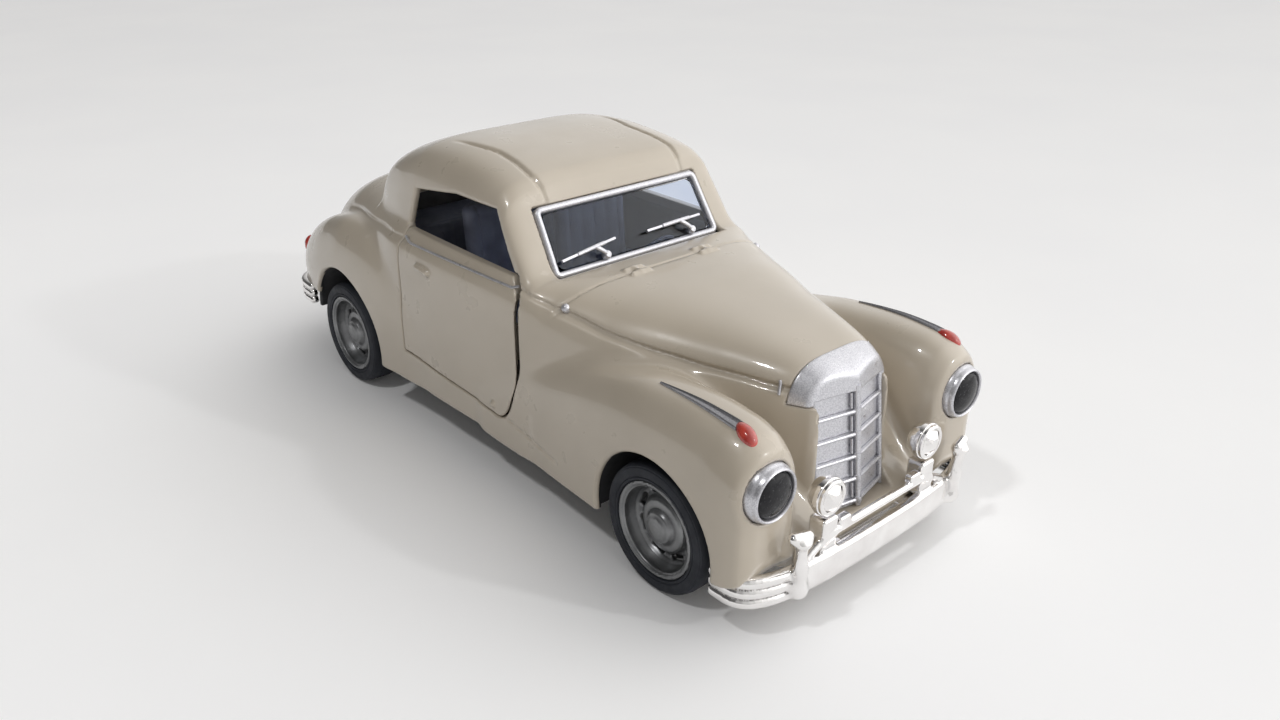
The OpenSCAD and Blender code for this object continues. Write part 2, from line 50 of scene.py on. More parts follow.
# Stations nose to tail: y, half width, low z, high z, squareness. Wings have a centre x after y.
HULL = [(-56, 7.6, 8, 27.4, 4), (-53.5, 8.6, 8, 29.2, 4), (-50.5, 10, 8, 30.4, 3.8),
    (-44, 12.6, 7.6, 31.6, 3.5), (-38, 15, 7.4, 32.3, 3.4), (-28, 19.2, 7.2, 33.3, 3.6),
    (-19, 21.7, 7.2, 33.6, 5), (-14, 22.8, 7.2, 33.4, 8), (-5, 23.4, 7.2, 33.4, 9),
    (8, 23.8, 7.2, 33.4, 9), (18, 23.6, 7.2, 33.6, 8), (27, 22.2, 7.4, 34.4, 5),
    (33, 20.8, 7.6, 35.3, 4), (42, 18.8, 8, 34.9, 3.2), (49, 17.4, 8.4, 32.7, 3),
    (54.5, 16, 9, 28.8, 2.8), (59, 13, 10, 23, 2.6), (61.4, 9, 12, 18.5, 2.4)]
APRON = [(-59.6, 13, 6.8, 8.8, 3), (-57.6, 15, 6.8, 10.6, 3), (-55, 16, 6.8, 13.6, 3),
    (-51.5, 17, 6.8, 18, 3.5), (-42, 17, 6.8, 20, 4)]
WING = [(-59.4, 19.2, 3.6, 9.5, 24, 2), (-58.5, 19, 4.8, 8.2, 25.6, 2.2), (-56.5, 19, 5.6, 7.6, 27, 2.4),
    (-53.5, 18.9, 6, 7.3, 27.7, 2.5), (-48, 18.8, 6.2, 7, 28, 2.6), (-40, 18.6, 6.3, 6.8, 27.6, 2.6),
    (-32, 18.2, 6.3, 6.8, 26.3, 2.6), (-24, 17.8, 6.3, 6.8, 24.3, 2.6), (-17, 17.4, 6.3, 6.9, 21.8, 2.6),
    (-11, 17, 6.3, 7, 18.5, 2.6), (-5, 16.7, 6.2, 7.1, 14.5, 2.5)]
REAR_WING = [(12, 18.3, 4.5, 7.4, 22, 2.4), (17, 18.6, 5.2, 7.3, 26, 2.5), (23, 18.8, 5.8, 7.2, 28.8, 2.6),
    (30, 18.9, 6.1, 7.2, 30, 2.6), (37, 18.7, 6.2, 7.3, 30, 2.6), (44, 18.2, 6.2, 7.6, 28.6, 2.5),
    (50, 17.6, 6, 8, 26.4, 2.4), (55, 17, 5.4, 8.4, 23.6, 2.3), (59, 16.2, 4.4, 9, 20.6, 2.2),
    (61.4, 15.6, 2.8, 11, 17.5, 2)]
CABIN = [(-15.6, 20, 26, 32, 6), (-14.1, 20.4, 26, 34.2, 6), (-11.5, 20.8, 26, 38.3, 6),
    (-9, 21, 26, 42.3, 6), (-7.9, 21, 26, 44.2, 5.8), (-5.8, 21.1, 26, 45.6, 5.6),
    (0, 21.2, 26, 46.8, 5.2), (8, 21.2, 26, 47.4, 5), (15, 21, 26, 47, 4.8), (20, 20.5, 26, 45.7, 4.6),
    (24.4, 19.7, 26, 44, 4.6), (27.4, 19, 26, 42.4, 4.6), (29.4, 18.4, 26, 40.4, 4.4),
    (30.8, 18, 26, 37.4, 4.2), (32, 17.4, 26, 34, 4)]
BELT_Z = 33.4
CABIN_LEAN, END_ROUND, WALL = 0.005, 1.5, 1.2
TYRE_R, RIM_R, TYRE_W, WHEEL_X = 9.1, 6.8, 5.6, 24
FRONT_Y, REAR_Y = -44.05, 36.55
FRONT_ARCH, REAR_ARCH = TYRE_R + 1.7, TYRE_R + 3
DOOR_FRONT, DOOR_BACK, DOOR_LOW, DOOR_KNEE, DOOR_FOOT = -13.8, 16.8, 11.4, 20, 4.4
DOOR_INNER_X, DOOR_CHAMFER, DOOR_CHAMFER_Z = 19.9, 2, 30.6
HINGE_X, HINGE_Y = 19.8, -15.9
SCREEN_Y, SCREEN_Z, SCREEN_SLOPE = -14.9, 32.5, math.radians(57.6)
SCREEN_W, SCREEN_H = 32.6, 10.8
REAR_SCREEN_Y, REAR_SCREEN_Z, REAR_SCREEN_SLOPE = 32.6, 35.7, math.radians(72)
LAMP = (19.5, -57.4, 20.3)
LAMP_R = 3.9
FOG_X, FOG_Z, FOG_BACK, FOG_FACE = 10.2, 16.6, -58.6, -60.85
GRILLE_W, CAP_Y, CAP_Z, GRILLE_FOOT, GRILLE_TOP = 6.8, -51.8, 25.2, 9.5, 25.9
NOSE_Y, NOSE_Z, NOSE_RAKE, NOSE_POINT, NOSE_STEEP = -55.9, 26.5, 0.125, 1.5, 1.02
BUMPER_FRONT_Z, BUMPER_REAR_Z = 7, 11.6
SIDES = (("left", 1), ("right", -1))

# Lines pressed into the casting. Side views are (y, z), plan views (x, y).
BONNET_EDGE = [(-20, 30.6), (-23.6, 29.9), (-26.8, 29.2), (-34, 28.2), (-40.7, 27.6), (-46, 27.4), (-52, 27)]
SCUTTLE_EDGE = [(-13.4, 32.2), (-20, 30.6)]
BONNET_REAR = [(21.5, -19.2), (19.9, -20), (17, -20.8), (12, -21.2), (6.7, -21.3), (-1, -21.5)]
ROOF_EDGE = [(13.2, -8.8), (13.5, -5.6), (13, -1), (12.7, 3), (13.4, 7), (13.9, 13)]
WING_EDGE = [(15.5, 31.9), (24.8, 31.4), (30.6, 30.9), (39, 30.2), (46, 29.2)]
SILL_EDGE = [(-11.2, 11.9), (-17, 10.9), (-24, 10)]


# ------------------------------------------------------------------ fields: negative inside a shape

def join(a, b, k):
    """The union of two fields, with a soft fillet k wide."""
    h = np.maximum(k - np.abs(a - b), 0) / k
    return np.minimum(a, b) - h * h * k / 4


def cut(a, b, k):
    """Field a without b, with an edge rounded over k."""
    h = np.maximum(k - np.abs(a + b), 0) / k
    return np.maximum(a, -b) + h * h * k / 4


def limit(a, b, k):
    """Where both fields are, with an edge rounded over k."""
    return cut(a, -b, k)


def step(a, b, v):
    """0 below a, 1 above b, smooth between."""
    u = np.clip((v - a) / (b - a), 0, 1)
    return u * u * (3 - 2 * u)


class Form:
    """A squared ellipse over straight sides that changes smoothly through its stations."""

    def __init__(self, rows, lean=0):
        table = np.array([row if len(row) == 6 else (row[0], 0, *row[1:]) for row in rows], float)
        self.y, self.value, self.lean = table[:, 0], table[:, 1:], lean
        rise = np.diff(self.value, axis=0) / np.diff(self.y)[:, None]
        a, b = rise[:-1], rise[1:]
        with np.errstate(divide="ignore", invalid="ignore"):
            inner = np.where(a * b > 0, 2 * a * b / (a + b), 0)
        self.slope = np.vstack([rise[:1], inner, rise[-1:]])

    def at(self, y):
        """Centre, half width, low z, high z and squareness at each y."""
        y = np.clip(y, self.y[0], self.y[-1])
        i = np.clip(np.searchsorted(self.y, y, "right") - 1, 0, len(self.y) - 2)
        h = self.y[i + 1] - self.y[i]
        u = (y - self.y[i]) / h
        return [(2 * u**3 - 3 * u**2 + 1) * v[i] + (3 * u**2 - 2 * u**3) * v[i + 1]
            + h * ((u**3 - 2 * u**2 + u) * s[i] + (u**3 - u**2) * s[i + 1])
            for v, s in zip(self.value.T, self.slope.T)]

    def field(self, x, y, z, inset=0):
        """Distance to the form, less inset all round, with its ends rounded."""
        cx, a, lo, hi, n = self.at(y)
        cz = (lo + hi) / 2
        a, b = a - inset, hi - inset - cz
        u = np.maximum(np.abs(x / (1 - self.lean * np.maximum(z - BELT_Z, 0)) - cx) / a, 1e-5)
        v = np.maximum((z - cz) / b, 1e-5)
        g = (u**n + v**n) ** (1 / n)
        f = (g - 1) * g ** (n - 1) / np.sqrt((u ** (n - 1) / a) ** 2 + (v ** (n - 1) / b) ** 2)
        f = np.clip(f, -30, 30)
        if not inset:
            f = limit(f, lo - z, 0.6)
        return limit(limit(f, self.y[0] + inset - y, END_ROUND), y - self.y[-1] + inset, END_ROUND)

    def reach(self, y, z):
        """Half width at y and z."""
        cx, a, lo, hi, n = self.at(y)
        v = np.clip((z - (lo + hi) / 2) / ((hi - lo) / 2), 0, 1)
        return cx + a * (1 - v**n) ** (1 / n)


def outline(points, p, q):
    """Signed distance from (p, q) to a closed outline, negative inside."""
    best, inside = 1e9, np.zeros(np.broadcast(p, q).shape, bool)
    for (ap, aq), (bp, bq) in zip(points, points[1:] + points[:1]):
        along = ((p - ap) * (bp - ap) + (q - aq) * (bq - aq)) / ((bp - ap) ** 2 + (bq - aq) ** 2)
        t = np.clip(along, 0, 1)
        best = np.minimum(best, np.hypot(p - ap - t * (bp - ap), q - aq - t * (bq - aq)))
        if aq != bq:
            inside = inside ^ (((aq > q) != (bq > q)) & (p < (bp - ap) * (q - aq) / (bq - aq) + ap))
    return np.where(inside, -best, best)


def trail(points, *p):
    """Distance from the points p to a path in as many dimensions."""
    best = 1e9
    for a, b in zip(points, points[1:]):
        d = [v - u for u, v in zip(a, b)]
        t = np.clip(sum((q - u) * v for q, u, v in zip(p, a, d)) / sum(v * v for v in d), 0, 1)
        best = np.minimum(best, np.sqrt(sum((q - u - t * v) ** 2 for q, u, v in zip(p, a, d))))
    return best


def swell(v, at, height, width):
    """A smooth bump of this height where v is at."""
    return height * np.exp(-(((v - at) / width) ** 2))


def groove(points, p, q, depth, width):
    """How far a pressed line pushes the surface in."""
    return swell(trail(points, p, q), 0, depth, width)


def rounded_box(x, y, z, size, r):
    """A box of full sizes size with its edges rounded to r."""
    d = [np.abs(v) - s / 2 + r for v, s in zip((x, y, z), size)]
    out = np.sqrt(sum(np.maximum(v, 0) ** 2 for v in d))
    return out + np.minimum(np.maximum(np.maximum(d[0], d[1]), d[2]), 0) - r


def on_screen(y, z, y0=SCREEN_Y, z0=SCREEN_Z, a=SCREEN_SLOPE):
    """Height up a pane's slope, and distance out of it."""
    dy, dz = y - y0, z - z0
    return dy * math.cos(a) + dz * math.sin(a), dz * math.cos(a) - dy * math.sin(a)


hull, apron, cabin = Form(HULL), Form(APRON), Form(CABIN, CABIN_LEAN)
wing, rear_wing = Form(WING), Form(REAR_WING)


def skin(x, y, z):
    """The outer form of the whole body, with its pressed lines. x is 0 or more."""
    side = step(5, 8, x)
    h = hull.field(x, y, z)
    h = h + side * (groove(BONNET_EDGE, y, z, 0.65, 0.42) + groove(SCUTTLE_EDGE, y, z, 0.3, 0.25))
    h = h + groove(BONNET_REAR, x, y, 0.22, 0.22) * step(29, 31, z)
    c = cabin.field(x, y, z)
    c = c + groove(ROOF_EDGE, x, y, 0.45, 0.4) * step(40, 42, z) * step(15, 6, y)
    f = join(h, apron.field(x, y, z), 1)
    f = join(f, c, 1.8)
    w = wing.field(x, y, z)
    pod = limit(np.hypot(x - LAMP[0], z - LAMP[2]) - LAMP_R - 0.75, np.abs(y + 56) - 2.2, 1.2)
    w = join(w, pod, 1.6)
    f = join(f, w, 2.2)
    f = join(f, rear_wing.field(x, y, z), 1)
    f = f + step(14, 17, x) * groove(WING_EDGE, y, z, 0.35, 0.45) * step(48, 36, y)
    f = f + groove(SILL_EDGE, y, z, 0.22, 0.3) * step(20, 22, x)
    for y0 in (-20.4, -22.1):
        f = join(f, trail([(5.3, y0, 33.6), (8.1, y0, 33.55)], x, y, z) - 0.42, 0.5)
    return join(f, trail([(6.7, -20.4, 33.6), (6.7, -22.1, 33.5)], x, y, z) - 0.4, 0.5)


def cavity(x, y, z):
    """The hollow inside the casting."""
    f = np.minimum(hull.field(x, y, z, WALL), apron.field(x, y, z, WALL))
    f = np.minimum(f, cabin.field(x, y, z + 0.8, WALL))
    f = np.minimum(f, wing.field(x, y, z, WALL))
    return np.maximum(np.minimum(f, rear_wing.field(x, y, z, WALL)), -51.5 - y)


DOOR_POINTS = [(DOOR_FRONT + DOOR_FOOT * (1 - math.cos(math.radians(a))),
    DOOR_KNEE - (DOOR_KNEE - DOOR_LOW) * math.sin(math.radians(a))) for a in range(0, 91, 10)]
DOOR_POINTS += [(DOOR_BACK, DOOR_LOW + 1.6), (DOOR_BACK, BELT_Z), (DOOR_FRONT + DOOR_CHAMFER, BELT_Z),
    (DOOR_FRONT, DOOR_CHAMFER_Z)]
WINDOW_POINTS = [(-11.8, BELT_Z), (17.6, BELT_Z), (15.4, 40.2), (4, 41.9), (-6.4, 42)]
REAR_POINTS = [(-9.5, 0.4), (9.5, 0.4), (8.6, 4.6), (-8.6, 4.6)]
SCREEN_POINTS = [(-SCREEN_W / 2, 0), (SCREEN_W / 2, 0), (SCREEN_W / 2 - 0.5, SCREEN_H),
    (0.5 - SCREEN_W / 2, SCREEN_H)]


def nose(x, z, out):
    """Where the grille's raked and pointed front is, moved forward by out."""
    return NOSE_Y - (NOSE_Z - z) * NOSE_RAKE - out + NOSE_POINT * abs(x) / GRILLE_W


def prow(x, y, z, out):
    """Ahead of the grille's pointed front is outside."""
    return (nose(x, z, out) - y) / NOSE_STEEP


def door_gap(y, z):
    """The gap round a door: wide ahead of it, and a thin seam below and behind."""
    return 0.22 + 0.2 * step(-8, -12, y) * step(17, 20, z)


def body(x, y, z):
    """The body casting."""
    f = cut(skin(x, y, z), cavity(x, y, z), 0.3)
    for y0, r in ((FRONT_Y, FRONT_ARCH), (REAR_Y, REAR_ARCH)):
        f = cut(f, np.maximum(np.hypot(y - y0, z - TYRE_R) - r, 14 - x), 0.7)
    f = cut(f, np.maximum(z - 8.6 - 4.6 * step(13.5, 18, x), 45 - y), 0.7)
    up, out = on_screen(y, z)
    f = cut(f, limit(outline(SCREEN_POINTS, x, up) - 0.05, np.abs(out) - 4, 0.3), 0.35)
    up, out = on_screen(-y, z, -REAR_SCREEN_Y, REAR_SCREEN_Z, REAR_SCREEN_SLOPE)
    f = cut(f, limit(outline(REAR_POINTS, x, up) + 0.3, np.abs(out) - 4, 0.3), 0.5)
    f = cut(f, limit(outline(WINDOW_POINTS, y, z) + 0.4, 17 - x, 0.3), 0.7)
    door = outline(DOOR_POINTS, y, z)
    f = cut(f, limit(door - door_gap(y, z), DOOR_INNER_X - 0.5 - x, 0.2), 0.3)
    f = cut(f, limit(np.hypot(x - LAMP[0], z - LAMP[2]) - LAMP_R - 0.05, y - LAMP[1] - 1.5, 0.2), 0.4)
    f = cut(f, np.maximum(np.maximum(x - 11, y - CAP_Y), CAP_Z - z), 0.2)
    return cut(f, np.maximum(np.maximum(x - GRILLE_W - 0.05, y + 53), GRILLE_FOOT - z), 0.25)


def swing(z):
    """How far from the hinge a door has to stay at height z, to pass the body's edge as it opens."""
    fall = np.clip((DOOR_KNEE - z) / (DOOR_KNEE - DOOR_LOW), 0, 1)
    slant = np.clip((z - DOOR_CHAMFER_Z) / (BELT_Z - DOOR_CHAMFER_Z), 0, 1)
    y = DOOR_FRONT + DOOR_FOOT * (1 - np.sqrt(1 - fall**2)) + DOOR_CHAMFER * slant
    x = np.maximum(hull.reach(y, np.minimum(z, BELT_Z - 2)), wing.reach(y, z))
    return np.hypot(x - HINGE_X, y - door_gap(y, z) - HINGE_Y) + 0.3


def door(x, y, z):
    """A door casting with its pull."""
    f = cut(skin(x, y, z), cavity(x, y, z), 0.3)
    f = limit(f, limit(outline(DOOR_POINTS, y, z), DOOR_INNER_X - x, 0.2), 0.3)
    f = join(f, trail([(23.9, 7.6, 29), (24, 9, 29.25), (23.9, 10.6, 29.2)], x, y, z) - 0.5, 0.4)
    f = join(f, np.sqrt((x - 23.8) ** 2 + (y + 8.4) ** 2 + (z - 12.9) ** 2) - 0.45, 0.5)
    return cut(f, np.hypot(x - HINGE_X, y - HINGE_Y) - swing(z), 0.2)


def grille_shell(x, y, z):
    """The bright shell round the top of the grille."""
    f = limit(hull.field(x, y + 0.8 * step(10, 2, x), z), prow(x, y, z, 0.2), 0.5)
    f = limit(f - 0.03, np.maximum(y - CAP_Y + 0.05, CAP_Z + 0.05 - z), 0.35)
    return cut(f, np.maximum(z - 25.8, x - 6.85), 0.3)


# ------------------------------------------------------------------ meshes from fields

def surface_net(value, axes):
    """Points and quads of the zero surface of a grid of values."""
    inside = value < 0
    corners = [(i, j, k) for i in (0, 1) for j in (0, 1) for k in (0, 1)]
    part = lambda c: tuple(slice(o, n - 1 + o) for o, n in zip(c, value.shape))
    count = sum(inside[part(c)].astype(np.int8) for c in corners)
    cells = (count > 0) & (count < 8)
    index = np.full(cells.shape, -1)
    index[cells] = np.arange(cells.sum())
    at = np.stack(np.nonzero(cells))
    total, hits = np.zeros(at.shape), np.zeros(at.shape[1])
    for axis in range(3):
        for c in corners:
            if c[axis]:
                continue
            a = at + np.array(c)[:, None]
            b = a.copy()
            b[axis] += 1
            va, vb = value[tuple(a)], value[tuple(b)]
            crossed = (va < 0) != (vb < 0)
            t = np.where(crossed, va / np.where(crossed, va - vb, 1), 0)
            p = np.stack([axes[d][a[d]] for d in range(3)])
            p[axis] += t * (axes[axis][b[axis]] - axes[axis][a[axis]])
            total += p * crossed
            hits += crossed
    quads = []
    for axis in range(3):
        u, v = (axis + 1) % 3, (axis + 2) % 3
        low = [slice(1, -1)] * 3
        high = [slice(1, -1)] * 3
        low[axis], high[axis] = slice(0, -1), slice(1, None)
        here = inside[tuple(low)]
        e = np.stack(np.nonzero(here != inside[tuple(high)]))
        e[u] += 1
        e[v] += 1
        ring = []
        for du, dv in ((1, 1), (0, 1), (0, 0), (1, 0)):
            c = e.copy()
            c[u] -= du
            c[v] -= dv
            ring.append(index[tuple(c)])
        q = np.stack(ring, 1)
        out = inside[tuple(e)]
        quads.append(np.where(out[:, None], q, q[:, ::-1]))
    return (total / hits).T, np.concatenate(quads)


def gradient(field, p, h=0.02):
    """The field's slope at each point."""
    return np.stack([(field(*(p + d).T) - field(*(p - d).T)) / (2 * h) for d in np.eye(3) * h], 1)


def settle(field, p, rounds=3, reach=0.15):
    """Moves points onto the field's surface."""
    for _ in range(rounds):
        g = gradient(field, p)
        move = (field(*p.T) / np.maximum((g * g).sum(1), 0.05))[:, None] * g
        long = np.linalg.norm(move, axis=1)[:, None]
        p = p - move * np.minimum(1, reach / np.maximum(long, 1e-9))
    return p


def field_mesh(name, field, low, high, pitch, symmetric=False, faces=0):
    """A mesh of a field's surface in the box from low to high, with the field's own normals.
    A symmetric field is given x of 0 or more, and low x is then 0."""
    pitch = pitch * 1
    axes = [np.arange(a, b + pitch, pitch) for a, b in zip(low, high)]
    value = field(axes[0][:, None, None], axes[1][None, :, None], axes[2][None, None, :])
    value = np.ascontiguousarray(np.broadcast_to(value, [len(a) for a in axes]), float)
    whole = field
    if symmetric:
        value = np.concatenate([value[:0:-1], value])
        axes[0] = np.concatenate([-axes[0][:0:-1], axes[0]])
        whole = lambda x, y, z: field(np.abs(x), y, z)
    points, quads = surface_net(value, axes)
    points = settle(whole, points)
    mesh = bpy.data.meshes.new(name)
    mesh.from_pydata((points * MM).tolist(), [], quads.tolist())
    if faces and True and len(quads) * 2 > faces:
        mesh = thinned(mesh, faces / (len(quads) * 2))
    return with_normals(mesh, whole)


def thinned(mesh, share):
    """The mesh with this share of its faces, fewest where it is flat."""
    o = bpy.data.objects.new("thinned", mesh)
    bpy.context.scene.collection.objects.link(o)
    fewer = o.modifiers.new("fewer", "DECIMATE")
    fewer.ratio = share
    result = bpy.data.meshes.new_from_object(o.evaluated_get(bpy.context.evaluated_depsgraph_get()))
    result.name = mesh.name
    bpy.data.objects.remove(o)
    return result


def with_normals(mesh, field):
    """Gives a mesh the field's own normals, so that its facets don't show."""
    p = np.zeros(len(mesh.vertices) * 3)
    mesh.vertices.foreach_get("co", p)
    g = gradient(field, p.reshape(-1, 3) / MM)
    g /= np.maximum(np.linalg.norm(g, axis=1)[:, None], 1e-9)
    mesh.polygons.foreach_set("use_smooth", [True] * len(mesh.polygons))
    mesh.normals_split_custom_set_from_vertices(g.tolist())
    return mesh


# ------------------------------------------------------------------ other meshes

def mesh_of(name, points, faces, smooth=True):
    """A mesh from points in millimetres."""
    mesh = bpy.data.meshes.new(name)
    mesh.from_pydata((np.array(points, float) * MM).tolist(), [], [list(map(int, f)) for f in faces])
    mesh.polygons.foreach_set("use_smooth", [smooth] * len(mesh.polygons))
    mesh.update()
    return mesh


def lathe(profile, turns=64):
    """Points and faces of a closed profile of (radius, height) turned about Z."""
    n = len(profile)
    points = [(r * math.cos(a), r * math.sin(a), h) for a in np.linspace(0, math.tau, turns, endpoint=False)
        for r, h in profile]
    faces = [(i * n + j, (i + 1) % turns * n + j, (i + 1) % turns * n + (j + 1) % n, i * n + (j + 1) % n)
        for i in range(turns) for j in range(n)]
    return points, faces


def sweep(path, section, up=(0, 0, 1), closed=False):
    """Points and faces of a section of (across, up) points that runs along a path."""
    path, up = [Vector(p) for p in path], Vector(up)
    m, k = len(section), len(path)
    points = []
    for i, p in enumerate(path):
        a = path[(i - 1) % k if closed else max(i - 1, 0)]
        b = path[(i + 1) % k if closed else min(i + 1, k - 1)]
        ahead = (b - a).normalized()
        across = ahead.cross(up).normalized()
        rise = across.cross(ahead)
        corner = 1
        if closed or 0 < i < k - 1:
            corner = 1 / max(0.5, (b - p).normalized().dot(ahead))
        points += [p + across * u * corner + rise * v for u, v in section]
    faces = [(i % k * m + j, i % k * m + (j + 1) % m, (i + 1) % k * m + (j + 1) % m, (i + 1) % k * m + j)
        for i in range(k if closed else k - 1) for j in range(m)]
    if not closed:
        faces += [list(range(m))[::-1], list(range((k - 1) * m, k * m))]
    return points, faces


def disc(r, n=12, flat=1):
    """A round or oval section."""
    return [(r * math.cos(a), r * flat * math.sin(a)) for a in np.linspace(0, math.tau, n, endpoint=False)]


def circle(r, n, z=0, phase=0):
    """Points round Z at height z, from the angle phase."""
    turns = np.linspace(0, math.tau, n, endpoint=False) + phase
    return [(r * math.cos(a), r * math.sin(a), z) for a in turns]


def facing(p):
    """Turns Z to face forward, at p."""
    return Matrix.Translation(Vector(p)) @ Matrix.Rotation(math.pi / 2, 4, "X")


def moved(shape, matrix):
    """A shape's points and faces after a move."""
    points, faces = shape
    return [matrix @ Vector(p) for p in points], faces


def together(*shapes):
    """Several shapes' points and faces as one."""
    points, faces = [], []
    for p, f in shapes:
        faces += [[i + len(points) for i in g] for g in f]
        points += list(p)
    return points, faces


def smooth_by_angle(mesh, degrees=35):
    """Keeps edges sharper than this angle crisp."""
    b = bmesh.new()
    b.from_mesh(mesh)
    bmesh.ops.recalc_face_normals(b, faces=b.faces)
    for e in b.edges:
        e.smooth = len(e.link_faces) != 2 or e.calc_face_angle(0) < math.radians(degrees)
    b.to_mesh(mesh)
    b.free()
    return mesh


def piece(name, mesh, look, replaces=(), body_name="car"):
    """An object that rides a CAD body and stands for the CAD nodes it replaces."""
    o = bpy.data.objects.new(name, mesh)
    bpy.context.scene.collection.objects.link(o)
    mesh.materials.clear()
    mesh.materials.append(look)
    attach(o, body_name)
    if replaces:
        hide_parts(*replaces)
    return o


def solid(name, shape, look, replaces=(), degrees=35):
    """A piece of the car's own body from a shape's points and faces."""
    return piece(name, smooth_by_angle(mesh_of(name, *shape), degrees), look, replaces)


def mirrored(mesh):
    """A mirror image of a mesh, with its faces the right way round."""
    b = bmesh.new()
    b.from_mesh(mesh)
    bmesh.ops.scale(b, vec=(-1, 1, 1), verts=b.verts)
    bmesh.ops.reverse_faces(b, faces=b.faces)
    other = bpy.data.meshes.new(mesh.name + "_mirror")
    b.to_mesh(other)
    b.free()
    return other


def pair(name, mesh, look, replaces=(), body_name="car"):
    """A left piece and its mirror image. {} in a name is the side."""
    for side, m in (("left", mesh), ("right", mirrored(mesh))):
        piece(name.format(side), m, look, [node.format(side) for node in replaces], body_name.format(side))


# ------------------------------------------------------------------ materials

class Look:
    """A node material on one Principled shader, with textures in the object's own millimetres."""

    def __init__(self, name, **sockets):
        self.material = bpy.data.materials.new(name)
        self.material.use_nodes = True
        self.tree = self.material.node_tree
        self.shader = self.tree.nodes["Principled BSDF"]
        self.place = self.tree.nodes.new("ShaderNodeTexCoord").outputs["Object"]
        for k, v in sockets.items():
            self.shader.inputs[k.replace("_", " ")].default_value = v

    def node(self, kind, inputs=None, **settings):
        n = self.tree.nodes.new("ShaderNode" + kind)
        for k, v in settings.items():
            setattr(n, k, v)
        for k, v in (inputs or {}).items():
            if isinstance(v, bpy.types.NodeSocket):
                self.tree.links.new(v, n.inputs[k])
            else:
                n.inputs[k].default_value = v
        return n

    def link(self, output, socket):
        self.tree.links.new(output, self.shader.inputs[socket])

    def noise(self, size, detail=3, stretch=(1, 1, 1)):
        """Noise with features about size millimetres across."""
        at = self.node("Mapping", {"Vector": self.place, "Scale": stretch}).outputs["Vector"]
        return self.node("TexNoise", {"Vector": at, "Scale": 1 / (size * MM), "Detail": detail}).outputs["Fac"]

    def ramp(self, value, low, high, a=0.0, b=1.0):
        """value from low to high, mapped to a to b."""
        return self.node("MapRange", {"Value": value, "From Min": low, "From Max": high, "To Min": a,
            "To Max": b}).outputs["Result"]

    def mix(self, share, a, b):
        """Colour a where share is 0, and b where it is 1."""
        n = self.node("Mix", data_type="RGBA")
        for i, v in ((0, share), (6, a), (7, b)):
            if isinstance(v, bpy.types.NodeSocket):
                self.tree.links.new(v, n.inputs[i])
            else:
                n.inputs[i].default_value = v if i == 0 else (*v, 1)
        return n.outputs[2]

    def blend(self, value, a, b, low=0.35, high=0.65):
        """Colour a where value is low, and b where it is high."""
        return self.mix(self.ramp(value, low, high), a, b)

    def pointiness(self):
        """About 0.5 on the flat, less in hollows and more on edges."""
        return self.node("NewGeometry").outputs["Pointiness"]

    def math(self, operation, a, b):
        return self.node("Math", {0: a, 1: b}, operation=operation).outputs[0]

    def bump(self, *layers):
        """Layers of (height field, depth in mm)."""
        normal = None
        for height, depth in layers:
            inputs = {"Height": height, "Distance": depth * MM, "Strength": 1.0}
            if normal:
                inputs["Normal"] = normal
            normal = self.node("Bump", inputs).outputs["Normal"]
        self.link(normal, "Normal")


def finish(look, tone, rough, *layers):
    """Sets the colour, the roughness as a ramp's arguments, and the relief."""
    look.link(tone, "Base Color")
    look.link(look.ramp(*rough), "Roughness")
    look.bump(*layers)
    return look.material


def wavy(look, dark, light, patch, rough, grain, depth):
    """The usual finish: colour that drifts over patches, uneven roughness and a fine relief."""
    return finish(look, look.blend(look.noise(patch), dark, light), (look.noise(grain * 4), 0.3, 0.7, *rough),
        (look.noise(grain), depth))


def cream_paint():
    """Glossy paint that is thin on edges, with a few tiny dark chips."""
    look = Look("cream_paint", Coat_Weight=0.7, Coat_Roughness=0.06, IOR=1.5)
    tone = look.blend(look.noise(14), (0.45, 0.395, 0.318), (0.485, 0.428, 0.348))
    thin = look.ramp(look.pointiness(), 0.53, 0.6)
    tone = look.mix(look.math("MULTIPLY", thin, look.noise(1.5)), tone, (0.56, 0.505, 0.43))
    cell = look.node("TexVoronoi", {"Vector": look.place, "Scale": 1 / (13 * MM)})
    rare = look.ramp(look.node("SeparateColor", {"Color": cell.outputs["Color"]}).outputs["Red"], 0.82, 0.83)
    spot = look.ramp(cell.outputs["Distance"], 0.009, 0.014, 1, 0)
    chip = look.math("MULTIPLY", rare, spot)
    return finish(look, look.mix(chip, tone, (0.06, 0.05, 0.045)), (look.noise(5, 5), 0.3, 0.7, 0.26, 0.38),
        (look.noise(1.6, 2), 0.006), (look.noise(7, 2), 0.03), (chip, -0.05))


def chrome():
    look = Look("plated", Metallic=1.0)
    plate_tone = look.blend(look.noise(3), (0.83, 0.81, 0.8), (0.93, 0.92, 0.91), 0.3, 0.7)
    # Painted shade: hollows and the valleys between ribs, where pointiness is low, go near black.
    return finish(look, look.blend(look.pointiness(), (0.06, 0.055, 0.05), plate_tone, 0.43, 0.492),
        (look.noise(1.2, 4), 0.3, 0.75, 0.05, 0.2), (look.noise(1.3, 2), 0.06), (look.noise(0.35, 3), 0.004))


def silver_paint(name="silver_paint", dark=(0.5, 0.5, 0.535), light=(0.68, 0.68, 0.71)):
    look = Look(name, Metallic=0.75, Coat_Weight=0.25, Coat_Roughness=0.2)
    flake = look.blend(look.noise(0.16, 1), dark, light)
    # Painted shade: hollows, where pointiness is low, darken to under half the flake tone.
    return finish(look, look.blend(look.pointiness(), tuple(v * 0.45 for v in dark), flake, 0.42, 0.49),
        (look.noise(0.8, 4), 0.3, 0.7, 0.26, 0.42), (look.noise(0.25, 2), 0.008), (look.noise(2, 2), 0.012))


